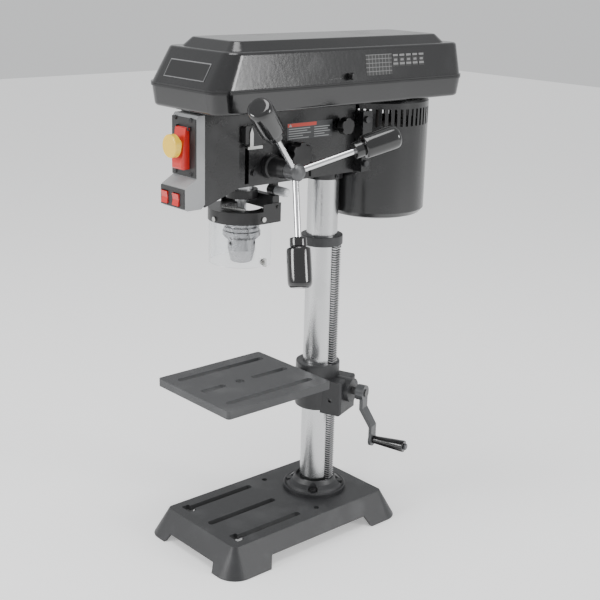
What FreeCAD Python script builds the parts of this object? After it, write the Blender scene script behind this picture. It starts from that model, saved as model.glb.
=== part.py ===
import FreeCAD, Part
import math
import os
import re

import Sketcher

# Bench drill press: cast base, tube column with a lifting table, head with quill and
# chuck, belt case and motor. Millimetres; the origin is on the column's axis at bench
# level, +Z up, the operator stands at -Y and the feed handles are on +X.

V = FreeCAD.Vector

# ---------------------------------------------------------------- driving dimensions
SIZES = {
    # clearances
    "gap": 0.3,                 # between faces that move past each other
    "fit": 0.05,                # radial, a shaft in its bore
    # base
    "base_wide": 218, "base_long": 356, "base_front": 259, "base_tall": 42.4,
    "base_inset": 24, "base_corner": 32, "base_wall": 6, "base_plate": 8,
    "base_rib": 5, "base_rib_low": 20, "base_rib_place": 30, "base_seat": 44,
    "arch_end": 50, "arch_front_tall": 13, "arch_side_tall": 17, "arch_slope": 8,
    "arch_side_from": -182, "arch_side_to": 29,
    "slot_wide": 11, "slot_round": 4.5, "slot_from": -217.7, "slot_to": -85.8,
    "slot_place": 60, "slot_key_wide": 22, "slot_key_long": 13,
    "bench_bolt_x": 64, "bench_bolt_y": -53, "bench_bolt_hole": 4.5,
    # column and its fittings
    "column_radius": 24, "column_bore": 21.5, "column_top": 628,
    "flange_radius": 51, "flange_edge": 6, "flange_tall": 20, "flange_groove": 5,
    "flange_bolt_circle": 41, "flange_bolt_seat": 7, "bolt_head": 6.35,
    "bolt_head_tall": 4.5, "bolt_shank": 3.2, "bolt_grip": 12,
    "collar_low": 454, "collar_tall": 15, "collar_radius": 32.7,
    "rack_turn": 20, "rack_wide": 15, "rack_foot": 28, "rack_tip": 30.7,
    "rack_seat": 29.9, "rack_pitch_line": 29.5, "lift_pitch": 3.927,
    # head casting
    "head_low": 567.5, "head_half": 35, "head_front": -193, "head_rear": 28,
    "nose_half": 27, "nose_front": -246, "nose_low": 545, "clamp_ring": 28.8,
    "clamp_ring_tall": 10, "head_wall": 6, "head_floor": 8,
    "feed_y": -137.6, "feed_z": 593, "feed_flange": 18, "feed_flange_out": 2.5,
    "depth_slot_y": -179.2, "depth_slot_low": 571.8, "depth_slot_high": 625.8,
    "depth_slot_wide": 7, "key_half": 4.3, "key_front": -184.3,
    # quill, spindle and chuck
    "spindle_reach": 159.3, "quill_radius": 17, "quill_bore": 9, "quill_low": 545,
    "quill_tall": 117, "quill_travel": 50, "spindle_radius": 6.5, "bearing_radius": 12.5,
    "bearing_tall": 9, "feed_module": 1.25, "feed_teeth": 14, "pinion_half": 6.8,
    "feed_neck": 6, "feed_neck_half": 13.5, "feed_shaft_radius": 10,
    "chuck_low": 451.5, "chuck_tall": 70.5, "chuck_nose": 16, "chuck_body": 20,
    "chuck_top": 22, "chuck_shoulder": 503.3, "chuck_bore": 6.9, "chuck_bore_deep": 40,
    "sleeve_low": 486, "sleeve_radius": 27.5, "sleeve_teeth": 24,
    "jaw_radius": 3.5, "jaw_open": 9, "jaw_long": 21, "jaw_lean": 20,
    # feed hub and handles
    "hub_root": 17, "hub_radius": 14.5, "hub_out": 77.5, "hub_nose": 12.5,
    "hub_centre": 89.5, "handle_long": 161.5, "handle_lean": 19.4, "handle_phase": 17.4,
    "handle_rod": 4.5, "rod_start": 8, "grip_radius": 17, "grip_from": 92, "grip_neck": 11.9,
    "grip_neck_long": 13.5, "grip_bite": 14,
    # switch box
    "box_half": 27, "box_front": -260, "box_foot_front": -279.5, "box_top": 671,
    "box_shelf": 586, "box_step": 574.5, "box_low": 543.5, "panel_thick": 2,
    "paddle_half": 12, "paddle_low": 598, "paddle_high": 654, "paddle_out": 13,
    "button_radius": 16, "button_z": 630, "button_travel": 3,
    "rocker_wide": 14, "rocker_tall": 18, "rocker_low": 549, "rocker_left_x": -16,
    "rocker_right_x": 10,
    # belt case, cover and pulleys
    "case_low": 675.7, "case_top": 706.6, "case_front": -264, "case_rear": 217,
    "case_half": 78.6, "case_flare": 4.4, "case_wall": 2.4, "case_corner": 22,
    "lip_half": 84, "lip_front": -269.6, "lip_rear": 221.7, "lip_tall": 2.8,
    "cover_shoulder": 756.8, "shoulder_half": 75.5, "shoulder_front": -238.7,
    "shoulder_rear": 211, "cover_top": 769, "plateau_half": 52,
    "plateau_front": -214, "plateau_rear": 182, "plateau_slope": 12,
    "latch_y": -32, "latch_z": 718, "latch_knob": 5,
    "hinge_x": -88, "hinge_barrel": 3, "hinge_pin": 1.5, "hinge_y": 130,
    "step_low": 684, "step_tall": 11, "step_count": 5, "step_small": 25,
    "step_gain": 9, "groove_deep": 5.3, "belt_thick": 5, "belt_tall": 8,
    # motor
    "motor_y": 109.2, "motor_radius": 80, "motor_wall": 3, "motor_low": 490.7,
    "motor_cap_tall": 23, "motor_top": 674.5, "motor_top_cap": 8, "vent_low": 636,
    "vent_tall": 26, "vent_wide": 4.4, "vent_pairs": 26, "motor_shaft": 7,
    "saddle_half": 52, "saddle_low": 570, "saddle_high": 660, "saddle_rear": 58,
    "slide_x": 20, "slide_z": 641, "slide_radius": 6, "slide_travel": 12,
    # table and its bracket
    "table_half": 86, "table_front": -249, "table_rear": -51.8, "table_top": 262.3,
    "table_thick": 11.9, "tilt_z": 230, "tilt_disc": 22, "tilt_bolt": 6,
    "lug_thick": 12, "table_slot_wide": 11, "table_slot_x": 58.5,
    "table_slot_from": -231, "table_slot_to": -66.6, "table_front_slot_to": -187.4,
    "table_rear_slot_from": -136, "table_hole": 7,
    "bracket_radius": 35, "bracket_low": 188, "bracket_high": 262, "housing_out": 55.5,
    "housing_half": 27, "housing_low": 184, "housing_high": 240,
    "crank_z": 222, "crank_boss": 19, "crank_boss_out": 64, "lift_teeth": 12, "lift_half": 4,
    "worm_radius": 8, "lift_shaft": 6, "crank_in": 73, "crank_out": 86,
    "crank_hub": 12.5, "crank_long": 75, "crank_tip": 103, "grip_out": 157, "crank_grip": 8,
    # chuck guard
    "guard_radius": 47.4, "guard_wall": 1.6, "guard_low": 451.5, "guard_high": 529,
    "frame_low": 514, "frame_high": 531.5, "frame_sheet": 1.5, "guard_hinge_y": -133,
    "guard_hinge_z": 536, "guard_rear": -140, "cheek_rear": -127, "cheek_high": 542,
    # knobs and lamp
    "tension_y": -96, "tension_z": 606, "tension_knob": 20, "lock_y": -4,
    "lock_knob": 13, "lever_y": -70, "lever_z": 600, "lamp_y": -106, "lamp_z": 551,
    "lamp_radius": 7, "spring_cup": 26, "spring_cup_long": 18,
}

# -------------------------------------------- places worked out from the dimensions
PLACES = {
    "spindle_y": "-spindle_reach",
    "base_lean": "atan(base_inset / base_tall)",
    "base_rear": "base_long - base_front",
    "flange_top": "base_tall + flange_tall",
    "rack_low": "flange_top - flange_groove + gap",
    "rack_high": "collar_low + flange_groove - gap",
    "head_top": "case_low",
    "quill_hole": "quill_radius + fit",
    "column_hole": "column_radius + fit",
    "quill_high": "quill_low + quill_tall",
    "pitch_radius": "feed_module * feed_teeth / 2",
    "rack_line": "spindle_reach + feed_y - pitch_radius",
    "case_lean": "atan(case_flare / (case_top - case_low))",
    "cover_low": "case_top + gap",
    "pulley_high": "step_low + step_tall * step_count",
    "step_sum": "2 * step_small + step_gain * (step_count - 1)",
    "belt_z": "(step_low + pulley_high) / 2",
    "belt_line": "step_sum / 2",
    "saddle_front": "head_rear + gap",
    "table_low": "table_top - table_thick",
    "arm_front": "table_rear + gap",
    "bracket_hole": "column_radius + gap",
    "lift_radius": "lift_pitch * lift_teeth / (2 * pi)",
    "lift_axis": "rack_pitch_line + lift_radius",
    "lift_z": "crank_z - lift_radius - worm_radius + 1",
    "guard_bore": "guard_radius - guard_wall",
    "frame_bore": "guard_radius + 0.2",
    "frame_radius": "frame_bore + frame_sheet",
    "bearing_hole": "bearing_radius + fit",
    "knob_face": "head_half + 8",
    "paddle_pin_y": "box_front - panel_thick - 2.5",
    "paddle_pin_z": "paddle_high - 0.5",
    "paddle_front": "box_front - panel_thick - 0.4 - paddle_out",
    "hinge_z": "(case_top + cover_low) / 2",
    "bolt_y": "saddle_front + 7",
    "lift_tip": "lift_radius + 0.9 * lift_pitch / pi",
    "ear_out": "frame_bore - 0.4",
    "collar_out": "quill_radius + 6",
}


def sheet_of(doc, name, rows):
    """Makes a spreadsheet with one aliased cell for each named value."""
    sheet = doc.addObject("Spreadsheet::Sheet", name)
    for row, (alias, content) in enumerate(rows.items(), 1):
        sheet.set(f"A{row}", alias)
        sheet.set(f"B{row}", content)
        sheet.setAlias(f"B{row}", alias)
    doc.recompute()
    return sheet


def formula(text):
    """Puts the name of its sheet before each alias in a formula."""
    def full(match):
        word = match.group(0)
        sheet = "Sizes." if word in SIZES else "Places." if word in PLACES else ""
        return sheet + word
    return re.sub(r"[a-z][a-z0-9_]*", full, str(text))


doc = FreeCAD.newDocument("DrillPress")
sizes = sheet_of(doc, "Sizes", {alias: str(number) for alias, number in SIZES.items()})
places = doc.addObject("Spreadsheet::Sheet", "Places")
for row, (alias, text) in enumerate(PLACES.items(), 1):
    places.set(f"A{row}", alias)
    places.set(f"B{row}", "=" + formula(text).replace("Places.", ""))
    places.setAlias(f"B{row}", alias)
    doc.recompute()


def size(alias):
    """The number that a cell of either sheet holds."""
    found = getattr(sizes if alias in SIZES else places, alias)
    return float(getattr(found, "Value", found))


def value(text):
    """The number that a formula comes to."""
    found = sizes.evalExpression(formula(text))
    return float(getattr(found, "Value", found))


# ------------------------------------------------------------------- bound primitives
TURNS = {
    "Z": FreeCAD.Rotation(), "-Z": FreeCAD.Rotation(V(1, 0, 0), 180),
    "X": FreeCAD.Rotation(V(0, 1, 0), 90), "-X": FreeCAD.Rotation(V(0, 1, 0), -90),
    "Y": FreeCAD.Rotation(V(1, 0, 0), -90), "-Y": FreeCAD.Rotation(V(1, 0, 0), 90),
}
UPRIGHT = {"XY": FreeCAD.Rotation(), "XZ": FreeCAD.Rotation(V(1, 0, 0), 90),
           "YZ": FreeCAD.Rotation(V(1, 1, 1), 120)}
NORMALS = {"XY": V(0, 0, 1), "XZ": V(0, 1, 0), "YZ": V(1, 0, 0)}
SPINS = {"Z": UPRIGHT["XZ"], "X": FreeCAD.Rotation(V(1, 1, 1), 240),
         "Y": FreeCAD.Rotation()}
AXES = {"X": V(1, 0, 0), "Y": V(0, 1, 0), "Z": V(0, 0, 1)}
NODES = []


def bind(thing, **formulas):
    for field, text in formulas.items():
        thing.setExpression(field, formula(text))
    return thing


def put(thing, x, y, z, along="Z"):
    """Places an object at bound coordinates, its own Z turned along an axis."""
    turn = TURNS[along] if isinstance(along, str) else along
    thing.Placement = FreeCAD.Placement(V(0, 0, 0), turn)
    for axis, text in zip("xyz", (x, y, z)):
        thing.setExpression("Placement.Base." + axis, formula(text))
    return thing


def cylinder(radius, tall, x=0, y=0, z=0, along="Z"):
    thing = doc.addObject("Part::Cylinder", "Cylinder")
    return put(bind(thing, Radius=radius, Height=tall), x, y, z, along)


def cone(low, high, tall, x=0, y=0, z=0, along="Z"):
    thing = doc.addObject("Part::Cone", "Cone")
    return put(bind(thing, Radius1=low, Radius2=high, Height=tall), x, y, z, along)


def box(wide, deep, tall, x=0, y=0, z=0):
    """A box from its low corner."""
    thing = doc.addObject("Part::Box", "Box")
    return put(bind(thing, Length=wide, Width=deep, Height=tall), x, y, z)


def span(x0, x1, y0, y1, z0, z1):
    """A box between two corners."""
    return box(f"({x1}) - ({x0})", f"({y1}) - ({y0})", f"({z1}) - ({z0})", x0, y0, z0)


def ball(radius, x=0, y=0, z=0):
    return put(bind(doc.addObject("Part::Sphere", "Ball"), Radius=radius), x, y, z)


def prism(radius, tall, x=0, y=0, z=0, along="Z"):
    """A hexagonal bar."""
    thing = doc.addObject("Part::Prism", "Prism")
    thing.Polygon = 6
    return put(bind(thing, Circumradius=radius, Height=tall), x, y, z, along)


def shaped(name, shape):
    """A feature whose shape is built by its own code."""
    thing = doc.addObject("Part::Feature", name)
    thing.Shape = shape
    return thing


def fuse(*things):
    if len(things) == 1:
        return things[0]
    thing = doc.addObject("Part::MultiFuse", "Fusion")
    thing.Shapes = list(things)
    return thing


def cut(base, *tools):
    thing = doc.addObject("Part::Cut", "Cut")
    thing.Base = base
    thing.Tool = fuse(*tools)
    return thing


def bundle(*things):
    """Separate solids kept together as one node."""
    thing = doc.addObject("Part::Compound", "Bundle")
    thing.Links = list(things)
    return thing


def turned(thing, angle, axis=V(0, 0, 1)):
    """Turns a finished shape about the column's axis."""
    thing.Placement = FreeCAD.Placement(V(0, 0, 0), FreeCAD.Rotation(axis, angle))
    return thing


def node(name, thing):
    thing.Label = name
    NODES.append(thing)
    return thing


# ------------------------------------------------------------------- bound sketches
def fix(sketch, item, point, u, v):
    """Ties one point of a sketch to bound coordinates."""
    for kind, text in (("DistanceX", u), ("DistanceY", v)):
        rough = value(text)
        number = sketch.addConstraint(Sketcher.Constraint(kind, -1, 1, item, point, rough))
        sketch.setExpression(f"Constraints[{number}]", formula(text))


def polygon(sketch, points):
    """A closed outline whose corners are bound."""
    first, count = sketch.GeometryCount, len(points)
    rough = [V(value(u), value(v), 0) for u, v in points]
    for i in range(count):
        sketch.addGeometry(Part.LineSegment(rough[i], rough[(i + 1) % count]))
    for i, (u, v) in enumerate(points):
        before = first + (i - 1) % count
        sketch.addConstraint(Sketcher.Constraint("Coincident", before, 2, first + i, 1))
        fix(sketch, first + i, 1, u, v)
    return sketch


def circle(sketch, u, v, radius):
    item = sketch.addGeometry(Part.Circle(V(value(u), value(v), 0), V(0, 0, 1), value(radius)))
    fix(sketch, item, 3, u, v)
    number = sketch.addConstraint(Sketcher.Constraint("Radius", item, value(radius)))
    sketch.setExpression(f"Constraints[{number}]", formula(radius))
    return sketch


def rounded(sketch, u0, u1, v0, v1, radius):
    """A rectangle with round corners, all bound."""
    first, bend = sketch.GeometryCount, value(radius)
    left, right, near, far = value(u0), value(u1), value(v0), value(v1)
    corners = [V(left, near, 0), V(right, near, 0), V(right, far, 0), V(left, far, 0)]
    for a, b in zip(corners, corners[1:] + corners[:1]):
        along = (b - a).normalize() * bend
        sketch.addGeometry(Part.LineSegment(a + along, b - along))
    middle = V((left + right) / 2, (near + far) / 2, 0)
    for i, corner in enumerate(corners[1:] + corners[:1]):
        inward = V(math.copysign(bend, middle.x - corner.x),
                   math.copysign(bend, middle.y - corner.y), 0)
        arc = Part.Circle(corner + inward, V(0, 0, 1), bend)
        start = math.radians(90 * i - 90)
        sketch.addGeometry(Part.ArcOfCircle(arc, start, start + math.pi / 2))
    rules = (("Horizontal", "DistanceY", v0), ("Vertical", "DistanceX", u1),
             ("Horizontal", "DistanceY", v1), ("Vertical", "DistanceX", u0))
    for i, (lie, kind, text) in enumerate(rules):
        side, arc, after = first + i, first + 4 + i, first + (i + 1) % 4
        sketch.addConstraint(Sketcher.Constraint("Tangent", side, 2, arc, 1))
        sketch.addConstraint(Sketcher.Constraint("Tangent", arc, 2, after, 1))
        sketch.addConstraint(Sketcher.Constraint(lie, side))
        number = sketch.addConstraint(Sketcher.Constraint("Radius", arc, bend))
        sketch.setExpression(f"Constraints[{number}]", formula(radius))
        rough = value(text)
        number = sketch.addConstraint(Sketcher.Constraint(kind, -1, 1, side, 1, rough))
        sketch.setExpression(f"Constraints[{number}]", formula(text))
    return sketch


def loose_sketch(plane, along=0):
    """A sketch of its own on a main plane, lifted along that plane's normal."""
    sketch = doc.addObject("Sketcher::SketchObject", "Outline")
    sketch.Placement = FreeCAD.Placement(V(0, 0, 0), UPRIGHT[plane])
    axis = {"XY": "z", "XZ": "y", "YZ": "x"}[plane]
    sketch.setExpression("Placement.Base." + axis, formula(along))
    return sketch


def extrude(points, plane, low, high):
    """A bound outline swept between two planes."""
    sketch = polygon(loose_sketch(plane, low), points)
    thing = doc.addObject("Part::Extrusion", "Extrusion")
    thing.Base = sketch
    thing.DirMode = "Custom"
    thing.Dir = NORMALS[plane]
    thing.Solid = True
    return bind(thing, LengthFwd=f"({high}) - ({low})")


def revolve(points, x=0, y=0, z=0, along="Z"):
    """A (radius, height) outline turned about an axis through a bound point."""
    sketch = polygon(doc.addObject("Sketcher::SketchObject", "Profile"), points)
    put(sketch, x, y, z, SPINS[along])
    thing = doc.addObject("Part::Revolution", "Revolution")
    thing.Source = sketch
    thing.Axis = AXES[along]
    thing.Solid = True
    for axis, text in zip("xyz", (x, y, z)):
        thing.setExpression("Base." + axis, formula(text))
    return thing


# -------------------------------------------------------------- PartDesign features
def body_named(name):
    return node(name, doc.addObject("PartDesign::Body", name))


def body_sketch(body, plane, offset=0):
    """A sketch on a body's own origin plane, lifted along the plane's normal."""
    sketch = body.newObject("Sketcher::SketchObject", "Sketch")
    role = plane + "_Plane"
    base = next(item for item in body.Origin.OriginFeatures if item.Role == role)
    sketch.AttachmentSupport = [(base, "")]
    sketch.MapMode = "FlatFace"
    sketch.setExpression("AttachmentOffset.Base.z", formula(offset))
    return sketch


def pad(body, sketch, length, back=False, lean=None):
    thing = body.newObject("PartDesign::Pad", "Pad")
    thing.Profile = sketch
    thing.Reversed = back
    if lean is not None:
        thing.setExpression("TaperAngle", formula(lean))
    sketch.Visibility = False
    return bind(thing, Length=length)


def pocket(body, sketch, length=None, back=False, lean=None, both=False):
    """A pocket of a bound depth, or through everything where no length is given."""
    thing = body.newObject("PartDesign::Pocket", "Pocket")
    thing.Profile = sketch
    thing.Reversed = back
    thing.Midplane = both
    if lean is not None:
        thing.setExpression("TaperAngle", formula(lean))
    if length is None:
        thing.Type = "ThroughAll"
        return thing
    return bind(thing, Length=length)


def loft(body, sketches, removes=False):
    kind = "PartDesign::SubtractiveLoft" if removes else "PartDesign::AdditiveLoft"
    thing = body.newObject(kind, "Loft")
    thing.Profile = sketches[0]
    thing.Sections = sketches[1:]
    thing.Ruled = True
    return thing


def spun(body, points, plane="XZ"):
    """A PartDesign revolution about the body's Z axis."""
    sketch = polygon(body_sketch(body, plane), points)
    thing = body.newObject("PartDesign::Revolution", "Revolution")
    thing.Profile = sketch
    thing.ReferenceAxis = (sketch, ["V_Axis"])
    return thing


def ring_of(body, feature, count):
    """Repeats a feature round the body's Z axis."""
    thing = body.newObject("PartDesign::PolarPattern", "Ring")
    axis = next(item for item in body.Origin.OriginFeatures if item.Role == "Z_Axis")
    thing.Originals = [feature]
    thing.Axis = (axis, [""])
    thing.Occurrences = count
    thing.Angle = 360
    body.Tip = thing
    return thing


def soften(body, radius, wanted):
    """Rounds the edges of a body's tip that a test picks out."""
    doc.recompute()
    tip = body.Tip
    picked = [f"Edge{i}" for i, edge in enumerate(tip.Shape.Edges, 1) if wanted(edge)]
    thing = body.newObject("PartDesign::Fillet", "Fillet")
    thing.Base = (tip, picked)
    return bind(thing, Radius=radius)


def soften_part(base, radius, wanted):
    """Rounds the picked edges of a Part object."""
    doc.recompute()
    thing = doc.addObject("Part::Fillet", "Fillet")
    thing.Base = base
    thing.Edges = [(i, radius, radius) for i, edge in enumerate(base.Shape.Edges, 1)
                   if wanted(edge)]
    return thing


def flat_at(height, near=0.01):
    """Picks edges that lie in one level plane."""
    def wanted(edge):
        bounds = edge.BoundBox
        return abs(bounds.ZMin - height) < near and abs(bounds.ZMax - height) < near
    return wanted


# --------------------------------------------------------------------- gear profiles
def gear_solid(teeth, module, long, phase=0.0):
    """A spur gear centred on the origin along Z, its first tooth at a phase in degrees."""
    pitch = module * teeth / 2
    pressure = math.radians(20)
    base = pitch * math.cos(pressure)
    tip, root = pitch + 0.9 * module, pitch - 1.15 * module
    half = 0.86 * math.pi / (2 * teeth)
    roll = math.tan(pressure) - pressure
    flank = []
    start = max(base, root)
    for i in range(5):
        radius = start + (tip - start) * i / 4
        turn = math.sqrt(max((radius / base) ** 2 - 1, 0))
        flank.append((radius, half + roll - (turn - math.atan(turn))))
    if root < start:
        flank.insert(0, (root, flank[0][1]))
    spots = []
    for tooth in range(teeth):
        middle = math.radians(phase) + 2 * math.pi * tooth / teeth
        for radius, angle in ([(r, middle - a) for r, a in flank]
                              + [(r, middle + a) for r, a in reversed(flank)]):
            spots.append(V(radius * math.cos(angle), radius * math.sin(angle), -long / 2))
    return Part.Face(Part.makePolygon(spots + spots[:1])).extrude(V(0, 0, long))


def rack_gaps(pitch, depth, thin, low, high, reach, start):
    """Trapezoid gaps of a rack in the XZ plane, open towards +X, as one outline each."""
    slope = math.tan(math.radians(20))
    half_tip = pitch / 2 - thin * pitch / 4
    count = int((high - low) // pitch)
    outlines = []
    for i in range(count):
        z = start + i * pitch
        if z + half_tip + 1 > high:
            break
        wide = half_tip + slope * (depth * 0.5 + reach)
        narrow = half_tip - slope * depth * 0.5
        outlines.append([(-depth, z - narrow), (reach, z - wide), (reach, z + wide),
                         (-depth, z + narrow)])
    return outlines


# ======================================================================= base, column
def base():
    body = body_named("base")
    sketch = rounded(body_sketch(body, "XY"), "-base_wide / 2", "base_wide / 2",
                     "-base_front", "base_rear", "base_corner")
    pad(body, sketch, "base_tall", lean="-base_lean")
    hollow = rounded(body_sketch(body, "XY"), "base_wall - base_wide / 2",
                     "base_wide / 2 - base_wall", "base_wall - base_front",
                     "base_rear - base_wall", "base_corner - base_wall")
    pocket(body, hollow, "base_tall - base_plate", back=True, lean="-base_lean")
    seat = circle(body_sketch(body, "XY", "base_rib_low"), 0, 0, "base_seat")
    pad(body, seat, "base_tall - base_plate / 2 - base_rib_low")
    for side in ("-", ""):
        rib = polygon(body_sketch(body, "XY", "base_rib_low"), [
            (f"{side}base_rib_place - base_rib / 2", "-base_front + base_inset + 1"),
            (f"{side}base_rib_place + base_rib / 2", "-base_front + base_inset + 1"),
            (f"{side}base_rib_place + base_rib / 2", "base_rear - base_inset - 1"),
            (f"{side}base_rib_place - base_rib / 2", "base_rear - base_inset - 1")])
        pad(body, rib, "base_tall - base_plate / 2 - base_rib_low")
    front_arch = polygon(body_sketch(body, "XZ"), [
        ("-base_wide / 2 + arch_end - 2", "-1"), ("base_wide / 2 - arch_end + 2", "-1"),
        ("base_wide / 2 - arch_end - arch_slope / 2", "arch_front_tall"),
        ("-base_wide / 2 + arch_end + arch_slope / 2", "arch_front_tall")])
    pocket(body, front_arch, both=True)
    side_arch = polygon(body_sketch(body, "YZ"), [
        ("arch_side_from - 1", "-1"), ("arch_side_to + 1", "-1"),
        ("arch_side_to - arch_slope", "arch_side_tall"),
        ("arch_side_from + arch_slope", "arch_side_tall")])
    pocket(body, side_arch, both=True)
    for place in ("-slot_place", "0", "slot_place"):
        slot = rounded(body_sketch(body, "XY", "base_tall"), f"{place} - slot_wide / 2",
                       f"{place} + slot_wide / 2", "slot_from", "slot_to", "slot_round")
        pocket(body, slot)
    for place in ("-slot_place", "slot_place"):
        key = rounded(body_sketch(body, "XY", "base_tall"), f"{place} - slot_key_wide / 2",
                      f"{place} + slot_key_wide / 2", "slot_from", "slot_from + slot_key_long",
                      "slot_round / 3")
        pocket(body, key)
        hole = circle(body_sketch(body, "XY", "base_tall"),
                      place.replace("slot_place", "bench_bolt_x"), "bench_bolt_y",
                      "bench_bolt_hole")
        pocket(body, hole)
    thread = circle(body_sketch(body, "XY", "base_tall"), "flange_bolt_circle * sqrt(0.5)",
                    "flange_bolt_circle * sqrt(0.5)", "bolt_shank + fit")
    ring_of(body, pocket(body, thread, "bolt_grip + 2"), 4)


def column_flange():
    body = body_named("column_flange")
    spun(body, [
        ("column_hole", "base_tall"), ("flange_radius", "base_tall"),
        ("flange_radius", "base_tall + flange_edge - 1"),
        ("flange_radius - 1.5", "base_tall + flange_edge"),
        ("flange_radius - 4.5", "base_tall + flange_edge - 1"),
        ("flange_radius - 8", "base_tall + flange_edge + 3"),
        ("rack_seat + 6.5", "flange_top - 6"), ("rack_seat + 3", "flange_top"),
        ("rack_seat", "flange_top"), ("rack_seat", "flange_top - flange_groove"),
        ("column_hole", "flange_top - flange_groove")])
    spot = "flange_bolt_circle * sqrt(0.5)"
    top = body_sketch(body, "XY", "flange_top + 1")
    recess = pocket(body, circle(top, spot, spot, "bolt_head + 1.2"),
                    "flange_tall + 1 - flange_bolt_seat")
    ring_of(body, recess, 4)
    through = pocket(body, circle(body_sketch(body, "XY", "flange_top"), spot, spot,
                                  "bolt_shank + gap"))
    ring_of(body, through, 4)


def hex_bolt(radius, head_tall, shank, grip, x, y, z):
    """A bolt standing on a seat, its shank pointing down."""
    return fuse(prism(radius, head_tall, x, y, z),
                cylinder(shank, f"({grip}) + 0.5", x, y, f"({z}) - ({grip})"))


def flange_bolts():
    spot = "flange_bolt_circle * sqrt(0.5)"
    bolts = [hex_bolt("bolt_head", "bolt_head_tall", "bolt_shank", "bolt_grip + flange_bolt_seat",
                      f"{a}{spot}", f"{b}{spot}", "base_tall + flange_bolt_seat")
             for a in ("", "-") for b in ("", "-")]
    node("flange_bolts", bundle(*bolts))


def column():
    outer = cylinder("column_radius", "column_top - base_tall", z="base_tall")
    inner = cylinder("column_bore", "column_top - base_tall + 2", z="base_tall - 1")
    node("column", cut(outer, inner))


def rack_collar():
    outer = soften_part(cylinder("collar_radius", "collar_tall", z="collar_low"), 1.2,
                        lambda edge: edge.Length > 100)
    node("rack_collar", cut(
        outer, cylinder("column_hole", "collar_tall + 2", z="collar_low - 1"),
        cylinder("rack_seat", "flange_groove + 1", z="collar_low - 1"),
        cylinder("3 + fit", 12, "-collar_radius - 1", 0, "collar_low + 10", "X")))


def rack():
    """A toothed bar that hangs in the collar's groove and stands in the flange's."""
    depth = size("rack_tip") - size("rack_foot")
    low, high = size("rack_low"), size("rack_high")
    pitch = size("lift_pitch")
    bar = Part.makeBox(size("rack_tip") - size("column_radius") + 2, size("rack_wide"),
                       high - low, V(size("column_radius") - 2, -size("rack_wide") / 2, low))
    bore = Part.makeCylinder(size("bracket_hole"), high - low + 2, V(0, 0, low - 1))
    start = size("lift_z") - pitch * math.floor((size("lift_z") - low - 8) / pitch)
    shape = bar.cut(bore)
    wide = size("rack_wide") + 2
    gaps = []
    for outline in rack_gaps(pitch, depth, 0.86, low, high - 7, 1.0, start):
        points = [V(size("rack_tip") + x, -wide / 2, z) for x, z in outline]
        gaps.append(Part.Face(Part.makePolygon(points + points[:1])).extrude(V(0, wide, 0)))
    shape = shape.cut(Part.makeCompound(gaps))
    ends = [Part.makeBox(depth + 1, wide, 7, V(size("rack_foot"), -wide / 2, z))
            for z in (low - 1, high - 6)]
    shape = shape.cut(Part.makeCompound(ends))
    node("rack", turned(shaped("Rack", shape), size("rack_turn")))


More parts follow.
